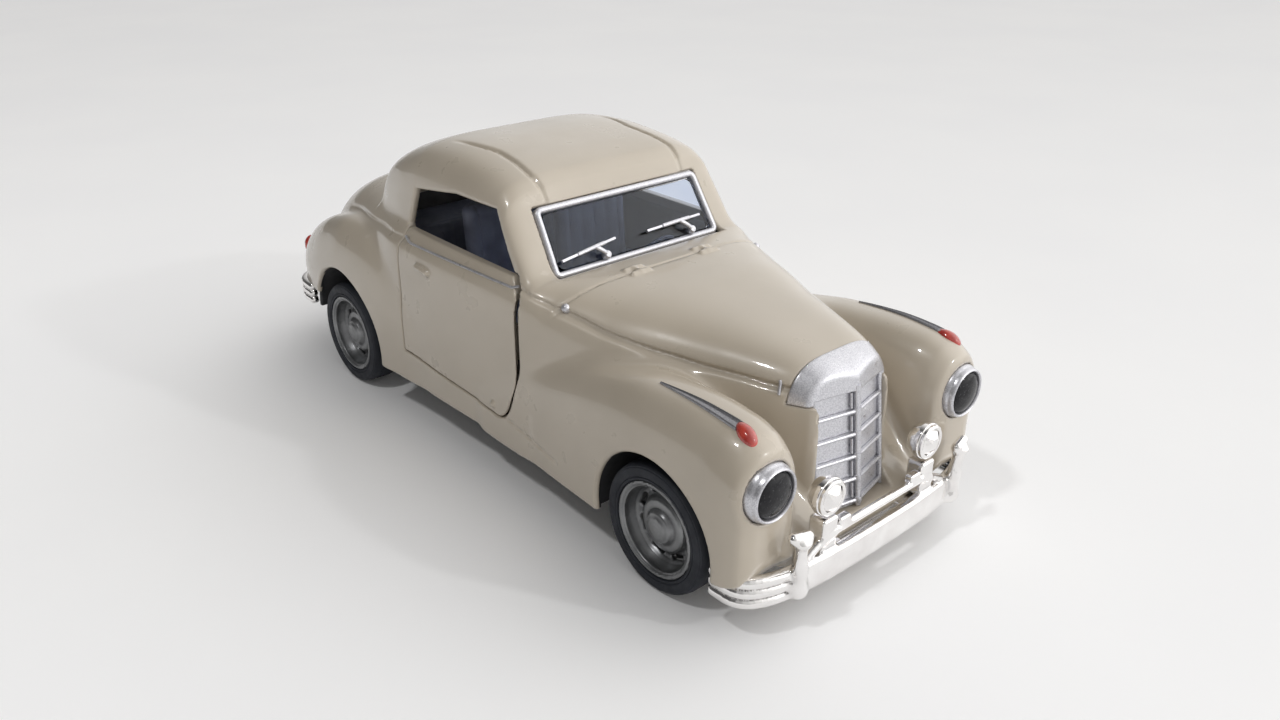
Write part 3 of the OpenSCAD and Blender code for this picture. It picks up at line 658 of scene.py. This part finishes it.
def wheel_silver():
    look = Look("wheel_silver", Metallic=0.85)
    tone = look.blend(look.noise(2.2), (0.22, 0.224, 0.23), (0.28, 0.285, 0.29))
    # Painted shade: hollows and slots, where pointiness is low, go near black.
    return finish(look, look.blend(look.pointiness(), (0.05, 0.05, 0.055), tone, 0.44, 0.51),
        (look.noise(1.2, 3), 0.3, 0.7, 0.28, 0.42), (look.noise(1.5, 2), 0.012))


def leather():
    look = Look("seat_plastic", Specular_IOR_Level=0.4)
    grain = look.node("TexVoronoi", {"Vector": look.place, "Scale": 1 / (0.45 * MM)}, feature="DISTANCE_TO_EDGE")
    return finish(look, look.blend(look.noise(3), (0.1, 0.11, 0.155), (0.135, 0.148, 0.2)),
        (look.noise(1, 4), 0.3, 0.7, 0.4, 0.6), (grain.outputs["Distance"], 0.03), (look.noise(0.3), 0.006))


def glass():
    look = Look("glazing", Transmission_Weight=1.0, IOR=1.33)
    return finish(look, look.blend(look.noise(9), (0.62, 0.7, 0.86), (0.7, 0.77, 0.9)),
        (look.noise(2.5, 4), 0.35, 0.7, 0.02, 0.07), (look.noise(6, 2), 0.006))


def smoked_lens():
    look = Look("lens", IOR=1.33, Specular_IOR_Level=0.35)
    tone = look.blend(look.noise(1.4), (0.01, 0.01, 0.012), (0.028, 0.028, 0.03), 0.3, 0.7)
    return finish(look, look.blend(look.noise(0.28, 2), tone, (0.06, 0.06, 0.065), 0.6, 0.72),
        (look.noise(1, 3), 0.3, 0.7, 0.03, 0.08), (look.noise(0.9, 2), 0.01))


def red_lens():
    look = Look("red_lens", Coat_Weight=1.0, Coat_Roughness=0.05)
    return finish(look, look.blend(look.noise(1.1), (0.36, 0.03, 0.022), (0.56, 0.06, 0.04)),
        (look.noise(0.7, 3), 0.3, 0.7, 0.15, 0.3), (look.noise(0.6, 2), 0.02))


def steel():
    look = Look("steel", Metallic=1.0)
    turned = look.noise(0.3, 3, (6, 1, 1))
    return finish(look, look.blend(turned, (0.45, 0.45, 0.46), (0.62, 0.62, 0.63)),
        (look.noise(0.8, 3), 0.3, 0.7, 0.2, 0.4), (turned, 0.006))


def plastic(name, dark, light, specular=0.4, patch=5, rough=(0.4, 0.6), grain=0.3):
    """Matt plastic or rubber."""
    return wavy(Look(name, Specular_IOR_Level=specular), dark, light, patch, rough, grain, 0.012)


PAINT, CHROME, SILVER, WHEEL = cream_paint(), chrome(), silver_paint(), wheel_silver()
LEATHER, GLASS, LENS, RED, STEEL = leather(), glass(), smoked_lens(), red_lens(), steel()
# Painted shade: a darker copy of the silver paint, for the shadowed strip between the spear's ridges.
SPEAR = silver_paint("spear_silver_shaded", (0.26, 0.26, 0.28), (0.4, 0.4, 0.42))
# Painted shade: a near-black material for the casting's shadowed inner faces.
INNER_SHADE = wavy(Look("inner_painted_shade"), (0.02, 0.021, 0.025), (0.035, 0.035, 0.038), 6, (0.5, 0.7), 0.6, 0.02)
RUBBER = plastic("tyre", (0.013, 0.015, 0.021), (0.022, 0.025, 0.033), 0.35, 4, (0.55, 0.75), 0.35)
CHASSIS = plastic("chassis_plastic", (0.028, 0.029, 0.031), (0.05, 0.05, 0.053))
TRIM = plastic("interior_plastic", (0.07, 0.077, 0.11), (0.095, 0.103, 0.14))


# ------------------------------------------------------------------ the body and doors

def body_piece():
    """The casting, painted outside and round its openings, and near black on its inner faces as painted shade."""
    mesh = field_mesh("body", body, (0, -61, 5.5), (26, 63, 48.5), 0.36, symmetric=True, faces=190000)
    piece("body", mesh, PAINT, ["body_shell"])
    mesh.materials.append(INNER_SHADE)
    centre = np.zeros(len(mesh.polygons) * 3)
    mesh.polygons.foreach_get("center", centre)
    x, y, z = centre.reshape(-1, 3).T / MM
    hollow = cavity(np.abs(x), y, z)
    inner = (hollow > -0.3) & (hollow < 0.6) & (skin(np.abs(x), y, z) < -0.45)
    # Painted shade: inner faces below the belt and at the ends take the near-black inner material, and the inside in
    # view through the windows stays cream.
    shaded_inside = inner & ((z < 32.6) | (y > 31.5) | (y < -16))
    mesh.polygons.foreach_set("material_index", shaded_inside.astype(int))


def doors():
    mesh = field_mesh("door_left_panel", door, (18, -15.5, 10), (26, 18, 34.5), 0.32)
    piece("door_left_panel", mesh, PAINT, ["door_panel_left"], "door_left")
    other = with_normals(mirrored(mesh), lambda x, y, z: door(-x, y, z))
    piece("door_right_panel", other, PAINT, ["door_panel_right"], "door_right")


def on_skin(points, shift=0.0):
    """Points moved onto the body's surface and then out by shift."""
    p = settle(skin, np.array(points, float), 8, 1)
    g = gradient(skin, p)
    return p + g / np.linalg.norm(g, axis=1)[:, None] * shift


def belt_strips():
    """The bright strip along the top of each door."""
    path = on_skin([(23.2, y, 32.95 - 0.024 * (y + 13)) for y in np.linspace(-13.5, 16.4, 24)], 0.02)
    mesh = smooth_by_angle(mesh_of("belt_strip_left", *sweep(path, disc(0.24, 10, 0.8))))
    pair("belt_strip_{}", mesh, SILVER, body_name="door_{}")


def small_trim():
    """The bright studs at the bonnet's rear corners and behind the grille shell."""
    stud = [(0, -0.5), (0.62, -0.5), (0.66, 0), (0.5, 0.35), (0.25, 0.5), (0, 0.52)]
    at = on_skin([(19.9, -20.1, 30.8)])[0]
    clip = on_skin([(9, -50.6, 28.2), (9.2, -50.8, 27.4), (9.5, -51, 26.5)], 0.03)
    for side, s in SIDES:
        turn = Matrix.Translation((s * at[0], at[1], at[2])) @ Matrix.Rotation(s * math.radians(52), 4, "Y")
        solid("bonnet_stud_" + side, moved(lathe(stud, 24), turn), SILVER, degrees=50)
        solid("grille_clip_" + side, sweep(clip * (s, 1, 1), disc(0.22, 10), (0, 1, 0)), SILVER)


# ------------------------------------------------------------------ nose

def grille():
    """The bright cap, and the slats, slim uprights and studs in front of a solid back."""
    cap = field_mesh("grille_cap", grille_shell, (0, -59, 23), (11.5, -51, 31), 0.2, symmetric=True)
    piece("grille_cap", cap, SILVER, ["grille_shell"])
    low, high, w, back, proud = 9.6, GRILLE_TOP, GRILLE_W - 0.15, -53.2, -0.12
    plate = [(x, y, z) for z in (low, high)
        for x, y in [(-w, back)] + [(x, nose(x, z, -0.4)) for x in (-w, 0, w)] + [(w, back)]]
    shapes = [(plate, [(0, 1, 2, 3, 4), (9, 8, 7, 6, 5), (5, 6, 1, 0), (6, 7, 2, 1), (7, 8, 3, 2), (8, 9, 4, 3),
        (9, 5, 0, 4)])]
    stud = lathe([(0, -0.55), (0.5, -0.5), (0.58, 0), (0.5, 0.5), (0, 0.55)], 20)
    for z in [10.4 + 3.15 * i for i in range(6)]:
        path = [(x, nose(x, z, proud), z) for x in (-w, -w / 2, -0.4, 0, 0.4, w / 2, w)]
        shapes.append(sweep(path, disc(0.34, 12, 0.85)))
        for s in (-1, 1) if z < 25 else ():
            path = [(s * 0.85, nose(0.85, z + a, -0.15), z + a) for a in (0.5, 2.6)]
            shapes.append(sweep(path, disc(0.16, 8), (0, 1, 0)))
        shapes.append(moved(stud, Matrix.Translation((0, nose(0, z, proud), z))))
    for x, r in ((-w, 0.32), (0, 0.38), (w, 0.32)):
        path = [(x, nose(x, z, -0.14), z) for z in np.linspace(low, high, 6)]
        shapes.append(sweep(path, disc(r, 12), (0, 1, 0)))
    solid("grille_slats", together(*shapes), SILVER, ["grille_bars"])


def headlights():
    ring = [(3.14, -1.2), (3.9, -1.2), (3.93, 0.2), (3.92, 1.1), (3.86, 1.6), (3.74, 2), (3.66, 2.1), (3.62, 2.3),
        (3.56, 2.62), (3.45, 2.82), (3.32, 2.88), (3.2, 2.8), (3.13, 2.6), (3.1, 2.2)]
    dome = [(0, 0.8), (3.08, 0.8)] + [(3.08 * math.cos(a), 2.15 + 1.15 * math.sin(a))
        for a in np.linspace(0, math.pi / 2, 14)]
    for side, s in SIDES:
        place = facing((s * LAMP[0], LAMP[1], LAMP[2]))
        solid("headlight_ring_" + side, moved(lathe(ring, 72), place), SILVER, ["headlight_bezel_" + side], 50)
        solid("headlight_dome_" + side, moved(lathe(dome, 64), place), LENS, ["headlight_lens_" + side], 50)


def indicators():
    """The red drops on the front wings and the bright spears that run back from them."""
    a, b = np.array((19.9, -54, 27.55)), np.array((20.7, -57.4, 26))
    length = np.linalg.norm(b - a)
    axis = (b - a) / length

    def drop(x, y, z):
        d = [v - c for v, c in zip((x, y, z), a)]
        t = sum(u * v for u, v in zip(d, axis))
        away = np.sqrt(np.maximum(sum(u * u for u in d) - t * t, 0))
        u = np.clip(t / length, 0, 1)
        r = 1.12 * np.sqrt(np.sin(math.pi * u**0.9)) * (0.82 + 0.3 * u)
        return limit(away - r, np.abs(t - length / 2) - length / 2 + 0.02, 0.2)

    mesh = field_mesh("indicator_drop_left", drop, (18, -58.8, 24.2), (22.4, -52.6, 29.4), 0.13)
    pair("indicator_drop_{}", mesh, RED, ["indicator_{}"])
    along, across = np.linspace(0, 1, 40), np.linspace(-1, 1, 15)
    tops = []
    for u in along:
        inner, outer = 19.78 - 0.25 * u, 20.05 + 1.4 * u**0.8
        ridge = swell(np.abs(across), 0.76, 0.34, 0.2)
        height = np.where(np.abs(across) > 0.99, -0.1, 0.06 + ridge * (0.4 + 0.6 * u))
        row = [((inner + outer + (outer - inner) * s) / 2, -40.6 - 14.2 * u, 28.2) for s in across]
        tops.append(on_skin(row, height[:, None]))
    tops = np.array(tops)
    m, k = len(across), len(along)
    points = np.concatenate([tops.reshape(-1, 3), (tops - (0, 0, 0.5)).reshape(-1, 3)])
    n = m * k
    grid = [(i + j, i + m + j, i + m + j + 1, i + j + 1) for i in range(0, n - m, m) for j in range(m - 1)]
    rim = [*range(0, n, m), *range(n - m + 1, n), *range(n - m - 1, 0, -m), *range(m - 2, 0, -1)]
    faces = grid + [tuple(i + n for i in f[::-1]) for f in grid]
    faces += [(a, b, b + n, a + n) for a, b in zip(rim, rim[1:] + rim[:1])]
    mesh = smooth_by_angle(mesh_of("wing_spear_left", points, faces), 60)
    pair("wing_spear_{}", mesh, SPEAR)


def blade(plan, x, y, z, mid, half, ribbed):
    """A bumper's blade: smooth in the middle, with three ribs where ribbed is 1."""
    v = np.clip((z - mid) / half, -1, 1)
    dome = 0.45 + 0.55 * np.sqrt(np.maximum(1 - v * v, 0))
    ribs = 0.4 + 0.45 * np.sqrt(np.abs(np.cos(1.5 * math.pi * v)))
    away = trail(plan, x, y)
    return limit(away - dome * (1 - ribbed) - ribs * ribbed, np.abs(z - mid) - half, 0.35)


def bumper_plan(half, y, bow, p, q):
    """Half of a bumper's plan, a squared ellipse from its middle to its end."""
    turns = np.radians(np.linspace(0, 90, 21)[:-1])
    return [(half * math.sin(a) ** p, y + bow * math.cos(a) ** q) for a in turns] + [(half, y)]


FRONT_PLAN = bumper_plan(23.1, -54.4, -7.2, 0.7, 0.5)
REAR_PLAN = bumper_plan(22.7, 52.8, 9.7, 0.8, 0.62)


def front_bumper(x, y, z):
    """The blade with its rail, overriders, fog lamp drums and brackets."""
    f = blade(FRONT_PLAN, x, y, z, BUMPER_FRONT_Z, 2.2, step(16.5, 18, x))
    rail = trail([(0, -61.2, 11.4), (9, -61.2, 11.4), (11, -61, 10.9), (14, -61, 9.4)], x, y, z) - 0.55
    f = join(f, rail, 0.5)
    rider = trail([(16.1, -61.6, 5.9), (16.2, -62, 8), (16.3, -61.9, 11), (16.5, -62.1, 13.6)], x, y, z)
    width = 0.72 + swell(z, 6.1, 0.62, 1.25) + swell(z, 9.6, 0.3, 1.2)
    f = join(f, rider - width - swell(z, 13.6, 0.5, 0.8), 0.6)
    f = join(f, trail([(15.6, -62.15, 14.1), (17.6, -61.7, 14.3)], x, y, z) - 0.72, 0.5)
    f = join(f, rounded_box(x - FOG_X, y + 60.2, z - 11.2, (2.8, 2.6, 5), 0.4), 0.5)
    f = join(f, rounded_box(x - 7.4, y + 61, z - 12.1, (2.2, 1.2, 1.6), 0.3), 0.4)
    drum = np.hypot(x - FOG_X, z - FOG_Z) - (1.5 + 1.1 * np.sqrt(np.clip((FOG_BACK - y) / 1.6, 0, 1)))
    f = join(f, limit(drum, np.maximum(FOG_BACK - 2.35 - y, y + 58.7), 0.25), 0.25)
    return join(f, rounded_box(x - 8, y + 57.6, z - 7.4, (4, 7.5, 1.6), 0.3), 0.4)


def rear_bumper(x, y, z):
    """The blade with its overriders and brackets."""
    f = blade(REAR_PLAN, x, y, z, BUMPER_REAR_Z, 2, step(14, 16, x))
    rider = trail([(9, 62, 9.2), (9, 62.3, 12), (9, 62, 14.9)], x, y, z)
    f = join(f, rider - 0.75 - swell(z, 9.6, 0.35, 1.2) - swell(z, 14.6, 0.3, 0.9), 0.6)
    return join(f, rounded_box(x - 8, y - 59.4, z - BUMPER_REAR_Z, (4, 6.4, 1.6), 0.3), 0.4)


def fog_lamp():
    """A fog lamp's face about Z: a rim round a cut lens."""
    n, r = 8, 1.9
    base = 2 * n + 1
    points = circle(r, n, 0.35) + circle(0.85, n, 1.1, math.pi / n) + [(0, 0, 1.35)] + circle(r, n, 0.1)
    turn = [(i, (i + 1) % n) for i in range(n)]
    faces = [(i, j, n + i) for i, j in turn] + [(j, n + j, n + i) for i, j in turn]
    faces += [(n + i, n + j, 2 * n) for i, j in turn] + [(base + i, base + j, j, i) for i, j in turn]
    faces.append(range(base + n - 1, base - 1, -1))
    rim = lathe([(1.8, 0), (2.3, 0), (2.42, 0.15), (2.42, 0.45), (2.2, 0.62), (1.88, 0.55)], 48)
    return together(rim, (points, faces))


def bumpers():
    mesh = field_mesh("front_bumper_set", front_bumper, (0, -64, 3.5), (25, -52.6, 20.5), 0.2, symmetric=True)
    piece("front_bumper_set", mesh, CHROME, ["front_bumper"])
    mesh = field_mesh("rear_bumper_set", rear_bumper, (0, 51.5, 7.5), (25, 64.5, 17.2), 0.26, symmetric=True)
    piece("rear_bumper_set", mesh, CHROME, ["rear_bumper"])
    for side, s in SIDES:
        solid("fog_lamp_" + side, moved(fog_lamp(), facing((s * FOG_X, FOG_FACE, FOG_Z))), CHROME, degrees=14)


def tail_lamps():
    def lens(x, y, z):
        f = np.sqrt(((x - 18.4) / 1.45) ** 2 + ((y - 60.3) / 1.35) ** 2 + ((z - 18.2) / 1.95) ** 2)
        return (f - 1) * 1.5 + 0.04 * np.cos(4 * (z - 18.2)) * step(60.4, 61, y)

    mesh = field_mesh("tail_lens_left", lens, (16.5, 58.4, 15.8), (20.3, 62.2, 20.6), 0.16)
    pair("tail_lens_{}", mesh, RED, ["tail_lamp_{}"])


# ------------------------------------------------------------------ windscreen

SCREEN_MATRIX = Matrix.Translation((0, SCREEN_Y, SCREEN_Z)) @ Matrix.Rotation(SCREEN_SLOPE, 4, "X")


def windscreen_frame():
    inset = 0.56
    corners = [(-SCREEN_W / 2 + inset, inset), (SCREEN_W / 2 - inset, inset),
        (SCREEN_W / 2 - 0.5 - inset, SCREEN_H - inset), (0.5 - SCREEN_W / 2 + inset, SCREEN_H - inset)]
    path = []
    for i, c in enumerate(corners):
        c = Vector(c)
        before, after = Vector(corners[i - 1]) - c, Vector(corners[(i + 1) % 4]) - c
        a, b = c + before.normalized() * 0.8, c + after.normalized() * 0.8
        path += [a * (1 - t) ** 2 + c * 2 * t * (1 - t) + b * t * t for t in np.linspace(0, 1, 7)]
    section = [(-0.48, -0.8), (0.48, -0.8), (0.5, 0.05), (0.4, 0.28), (0.2, 0.4), (-0.05, 0.44), (-0.27, 0.36),
        (-0.43, 0.2), (-0.5, -0.05)]
    shape = sweep([(p.x, p.y, 0) for p in path], section, closed=True)
    solid("screen_surround", moved(shape, SCREEN_MATRIX), SILVER, ["windscreen_frame"], 40)


def bowed(a, b, n, lift, bow):
    """A path from a to b that is lifted off the glass and bowed away from it."""
    return [a.lerp(b, t) + Vector((0, 0, lift + bow * math.sin(math.pi * t))) for t in np.linspace(0, 1, n)]


def wipers():
    """Each wiper, from its blade's ends and its spindle in the windscreen's plane."""
    for side, a, b, spindle in (("right", (-14.6, 2.3), (-4.3, 3.5), (-6.6, 1.5)),
            ("left", (1.9, 3.2), (13, 3.5), (10.6, 1.6))):
        a, b, spindle = Vector((*a, 0.75)), Vector((*b, 0.75)), Vector((*spindle, 0.55))
        middle = a.lerp(b, 0.6)
        rubber_edge = bowed(a, b, 12, 0, 0.14)
        bridge, arm = bowed(a.lerp(b, 0.28), a.lerp(b, 0.78), 8, 0.3, 0.16), bowed(spindle, middle, 8, 0.3, 0.2)
        knob = lathe([(0, -0.5), (0.62, -0.5), (0.66, 0.2), (0.5, 0.5), (0.2, 0.62), (0, 0.62)], 24)
        shape = together(sweep(rubber_edge, [(-0.24, -0.28), (0.24, -0.28), (0.17, 0.2), (-0.17, 0.2)]),
            sweep(bridge, disc(0.3, 10, 0.6)), sweep(arm, disc(0.34, 10, 0.7)),
            moved(knob, Matrix.Translation(spindle)))
        solid("wiper_arm_" + side, moved(shape, SCREEN_MATRIX), SILVER, ["wiper_" + side], 40)


# ------------------------------------------------------------------ wheels

RIM_FACE = [(0, -0.3), (0.7, -0.34), (1.4, -0.5), (2, -0.82), (2.4, -1.22), (2.6, -1.42), (3.1, -1.45), (3.5, -1.55),
    (3.8, -1.8), (3.95, -2.2), (4.15, -2.5), (4.7, -2.6), (5.15, -2.45), (5.5, -2), (5.8, -1.3), (6.05, -0.5),
    (6.22, -0.14), (6.45, 0), (6.7, -0.06), (6.8, -0.3)]


def rim_field(x, y, z):
    """A wheel's rim about Z, with its outer face near z = 0."""
    r = np.hypot(x, y)
    face = np.interp(r, [p[0] for p in RIM_FACE], [p[1] for p in RIM_FACE])
    f = limit(z - face, r - RIM_R, 0.1)
    f = limit(f, face - 0.9 - z, 0.2)
    barrel = limit(np.abs(r - 6.35) - 0.45, np.abs(z + 2.75) - 2.45, 0.15)
    hub = limit(r - 2.1, np.abs(z + 3) - 2.1, 0.2)
    f = join(join(f, barrel, 0.3), hub, 0.3)
    turn = np.arctan2(y, x)
    near = (turn + math.pi / 8) % (math.pi / 4) - math.pi / 8
    across, out = r * np.sin(near), r * np.cos(near)
    slot = trail([(4.7, -0.8), (4.7, 0.8)], out, across) - 0.4
    return cut(f, limit(slot, np.abs(z + 3) - 2, 0.1), 0.2)


def wheels():
    rim = field_mesh("rim", rim_field, (-7.1, -7.1, -5.6), (7.1, 7.1, 0.5), 0.2)
    ribs = [(TYRE_R - 0.02 - 0.14 * (i % 2), z) for i, z in enumerate(np.linspace(-1.6, -TYRE_W + 1.6, 9))]
    profile = [(6.78, -0.35), (6.95, 0.02), (7.2, 0.04), (7.3, -0.06), (7.45, 0.06), (8.1, 0.1), (8.5, 0.02),
        (8.62, -0.1), (8.75, -0.12), (8.93, -0.38), (9.04, -0.8), (TYRE_R, -1.25)]
    profile = profile + ribs + [(r, -TYRE_W - z) for r, z in profile[::-1]]
    tyre = smooth_by_angle(mesh_of("tyre", *lathe(profile, 128)), 30)
    for end, y in (("front", FRONT_Y), ("rear", REAR_Y)):
        for side, s in SIDES:
            spin = Matrix.Rotation(0.35 + 0.6 * s + y * 0.02, 4, "Z")
            place = Matrix.Translation((s * WHEEL_X, y, TYRE_R)) @ Matrix.Rotation(s * math.pi / 2, 4, "Y") @ spin
            for what, mesh, look in (("rim", rim, WHEEL), ("tyre", tyre, RUBBER)):
                copy = mesh.copy()
                copy.transform(Matrix.Scale(MM, 4) @ place @ Matrix.Scale(1 / MM, 4))
                piece(f"{end}_wheel_{what}_{side}", copy, look, [f"{end}_{what}_{side}"], end + "_wheels")


# ------------------------------------------------------------------ interior

def seat_field(width, y0, depth, top):
    """A seat with fluted padding: a cushion and a back."""
    def field(x, y, z):
        flutes = 0.4 - 0.4 * np.sqrt(np.abs(np.sin(math.pi * x / 2.6)))
        cushion = rounded_box(x, y - y0 + depth / 2, z - 15.1, (width, depth, 7.9), 1.4)
        cushion = cushion + flutes * step(17.5, 18.5, z)
        lean = (z - 20) * 0.1
        back = rounded_box(x, y - y0 - 1.9 - lean, z - (11.2 + top) / 2, (width, 3, top - 11.2), 1.3)
        back = back + flutes * step(y0 + 1.8, y0 + 1, y - lean) * step(width / 2, width / 2 - 1.4, np.abs(x))
        return join(cushion, back, 0.8)
    return field


def interior():
    for side, s in SIDES:
        f = seat_field(14.2, 5.5, 9.4, 37.5)
        mesh = field_mesh("front_seat_cover_" + side, lambda x, y, z: f(x - s * 8.6, y, z),
            (s * 8.6 - 8, -5.5, 10.4), (s * 8.6 + 8, 12.5, 38.6), 0.4)
        piece("front_seat_cover_" + side, mesh, LEATHER, ["front_seat_" + side])
    bench = seat_field(32.6, 19, 5.9, 30.9)

    def f(x, y, z):
        shelf = rounded_box(x, y - 26.2, z - 30.6, (38, 8.5, 0.9), 0.3)
        wall = rounded_box(x, y - 29.8, z - 20, (34, 0.9, 22), 0.3)
        return np.minimum(bench(x, y, z), np.minimum(shelf, wall))

    mesh = field_mesh("rear_bench", f, (-20, 12.5, 8.4), (20, 31.5, 32), 0.45)
    piece("rear_bench", mesh, LEATHER, ["rear_seat"])

    def dash(x, y, z):
        f = rounded_box(x, y + 11.5, z - 27.1, (34.8, 3.9, 7.8), 1.2)
        for cx in (6.4, 8.6, 10.8):
            dial = np.hypot(np.abs(x) - cx, z - 28.6)
            f = f - swell(dial, 0.9, 0.25, 0.2) * step(-10, -9.4, y)
        return f

    mesh = field_mesh("dash_panel", dash, (0, -14.5, 22.4), (18, -8.6, 32), 0.35, symmetric=True)
    piece("dash_panel", mesh, TRIM, ["dashboard"])
    turn = Matrix.Translation((8.6, -8.6, 29)) @ Matrix.Rotation(math.radians(-60), 4, "X")
    shapes = [sweep(circle(3.4, 48), disc(0.42, 12), closed=True),
        lathe([(0, -1.2), (0.6, -1.2), (0.75, -0.2), (0.8, 0.2), (0.55, 0.42), (0, 0.48)], 28)]
    for a in np.radians((90, 210, 330)):
        c, s = math.cos(a), math.sin(a)
        shapes.append(sweep([(0.5 * c, 0.5 * s, 0.05), (3.3 * c, 3.3 * s, 0)], disc(0.28, 10, 0.6)))
    solid("wheel_for_steering", moved(together(*shapes), turn), TRIM, ["steering_wheel"], 50)


PLATE_Z, PLATE_LOW = 7.25, 6.85
CHASSIS_EDGE = [(0, -52), (12, -52), (17.5, -46), (20.6, -20), (21.8, 0), (21.8, 16), (20, 30), (16, 48), (12, 55),
    (0, 55)]


def chassis_field(x, y, z):
    """The chassis plate, with the wells that close the wheel arches off from the inside."""
    edge = [(-p, q) for p, q in CHASSIS_EDGE[-2:0:-1]] + CHASSIS_EDGE
    f = limit(outline(edge, x, y), np.abs(z - PLATE_Z) - 0.55, 0.25)
    for y0, r in ((FRONT_Y, FRONT_ARCH), (REAR_Y, REAR_ARCH)):
        away = np.hypot(y - y0, z - TYRE_R)
        f = cut(f, np.maximum(16.2 - x, np.maximum(np.abs(y - y0) - 10.2, 0)), 0.2)
        wall = limit(np.maximum(away - r - 0.9, 6.7 - z), np.abs(x - 16) - 0.4, 0.2)
        foot = 7 + 3.2 * step(y0 + 4, y0 + 6, y) * step(20, 21.5, x) * (y0 > 0)
        within = np.maximum(np.maximum(15.6 - x, foot - z), skin(x, y, z) + 0.5)
        hood = limit(np.abs(away - r - 0.6) - 0.4, within, 0.2)
        f = np.minimum(np.minimum(f, wall), hood)
    for y0 in (-25, 48):
        f = cut(f, np.maximum(np.hypot(x, y - y0) - 1.9, z - 7.35), 0.15)
        f = cut(f, np.hypot(x, y - y0) - 1, 0.1)
    for y0 in (FRONT_Y, REAR_Y):
        saddle = rounded_box(x - 10, y - y0, z - 9.2, (3, 4.8, 4.6), 0.3)
        f = join(f, saddle, 0.4)
        f = cut(f, np.hypot(y - y0, z - TYRE_R) - 1.08, 0.1)
    for y0 in range(-15, 40, 9):
        f = join(f, limit(trail([(0, y0), (13, y0)], x, y) - 0.4, np.abs(z - PLATE_LOW) - 0.12, 0.1), 0.2)
    return f


def chassis():
    mesh = field_mesh("chassis_base", chassis_field, (0, -57, 6), (26, 56.5, 22.5), 0.42, symmetric=True)
    piece("chassis_base", mesh, CHASSIS, ["chassis_plate"])


def kept_nodes():
    """Materials for the CAD nodes that stay in view."""
    looks = [("base_screws", STEEL), ("interior_tub", TRIM), ("windscreen", GLASS), ("rear_window", GLASS),
        ("front_axle", STEEL), ("rear_axle", STEEL)]
    for side, s in SIDES:
        looks += [("hinge_bracket_" + side, CHASSIS), ("hinge_pin_" + side, STEEL), ("door_arm_" + side, PAINT)]
    for name, look in looks:
        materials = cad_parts[name].data.materials
        if not len(materials):
            materials.append(look)
        for i in range(len(materials)):
            materials[i] = look


# ------------------------------------------------------------------ camera, floor and light

def camera():
    place = Vector((-98.94, -125.34, 86.83)) * MM
    ahead = Vector((0.5995, 0.6712, -0.4359)).normalized()
    right = ahead.cross(Vector((0, 0, 1))).normalized()
    above = right.cross(ahead)
    roll = math.radians(0.377)
    x = right * math.cos(roll) + above * math.sin(roll)
    y = above * math.cos(roll) - right * math.sin(roll)
    cam = bpy.data.cameras.new("camera")
    cam.lens, cam.sensor_width, cam.clip_start = 29.44, 36, 0.01
    o = bpy.data.objects.new("camera", cam)
    o.matrix_world = Matrix.Translation(place) @ Matrix((x, y, -ahead)).transposed().to_4x4()
    bpy.context.scene.collection.objects.link(o)
    bpy.context.scene.camera = o


def area_light(name, place, size, power):
    """A round white light that faces the car's middle."""
    lamp = bpy.data.lights.new(name, "AREA")
    lamp.shape, lamp.size, lamp.energy = "DISK", size * MM, power
    o = bpy.data.objects.new(name, lamp)
    place = Vector(place) * MM
    o.location = place
    o.rotation_euler = (Vector((0, 0, 20)) * MM - place).to_track_quat("-Z", "Y").to_euler()
    bpy.context.scene.collection.objects.link(o)


def stage():
    """A pale floor, and a sky of three soft lobes that the camera sees as plain grey."""
    look = Look("floor", Specular_IOR_Level=0.2)
    floor = wavy(look, (0.95, 0.95, 0.955), (0.97, 0.97, 0.97), 60, (0.6, 0.75), 0.8, 0.01)
    points = [(x * 1500, y * 1500, 0) for x, y in ((-1, -1), (1, -1), (1, 1), (-1, 1))]
    o = bpy.data.objects.new("floor", mesh_of("floor", points, [(0, 1, 2, 3)], False))
    o.data.materials.append(floor)
    bpy.context.scene.collection.objects.link(o)
    bpy.context.scene.view_settings.view_transform = "Standard"
    world = bpy.data.worlds.new("studio")
    world.use_nodes = True
    nodes, links = world.node_tree.nodes, world.node_tree.links
    sky = nodes["Background"]
    total = None
    lobes = (((1, 0, 0.25), 0, 1.05), ((0, -1, 0.25), 0, 0.55), ((0.7, -0.7, 0.35), 0.3, 0.5))
    for direction, low, strength in lobes:
        aim = nodes.new("ShaderNodeVectorMath")
        aim.operation = "DOT_PRODUCT"
        aim.inputs[1].default_value = Vector(direction).normalized()
        links.new(nodes.new("ShaderNodeTexCoord").outputs["Generated"], aim.inputs[0])
        fall = nodes.new("ShaderNodeMapRange")
        fall.interpolation_type = "SMOOTHSTEP"
        for socket, v in (("From Min", low), ("From Max", 0.92), ("To Min", 0.03), ("To Max", strength)):
            fall.inputs[socket].default_value = v
        links.new(aim.outputs["Value"], fall.inputs["Value"])
        if total is None:
            total = fall.outputs["Result"]
        else:
            both = nodes.new("ShaderNodeMath")
            links.new(total, both.inputs[0])
            links.new(fall.outputs["Result"], both.inputs[1])
            total = both.outputs[0]
    seen = nodes.new("ShaderNodeMix")
    links.new(nodes.new("ShaderNodeLightPath").outputs["Is Camera Ray"], seen.inputs[0])
    links.new(total, seen.inputs[2])
    seen.inputs[3].default_value = 0.86
    links.new(seen.outputs[0], sky.inputs["Strength"])
    sky.inputs["Color"].default_value = (1, 0.99, 0.98, 1)
    bpy.context.scene.world = world
    area_light("lamp", (-240, -30, 420), 40, 0.36)
    area_light("spark", (220, -520, 300), 30, 0.5)


camera()
stage()
kept_nodes()
body_piece()
doors()
belt_strips()
small_trim()
grille()
headlights()
indicators()
bumpers()
tail_lamps()
windscreen_frame()
wipers()
wheels()
interior()
chassis()
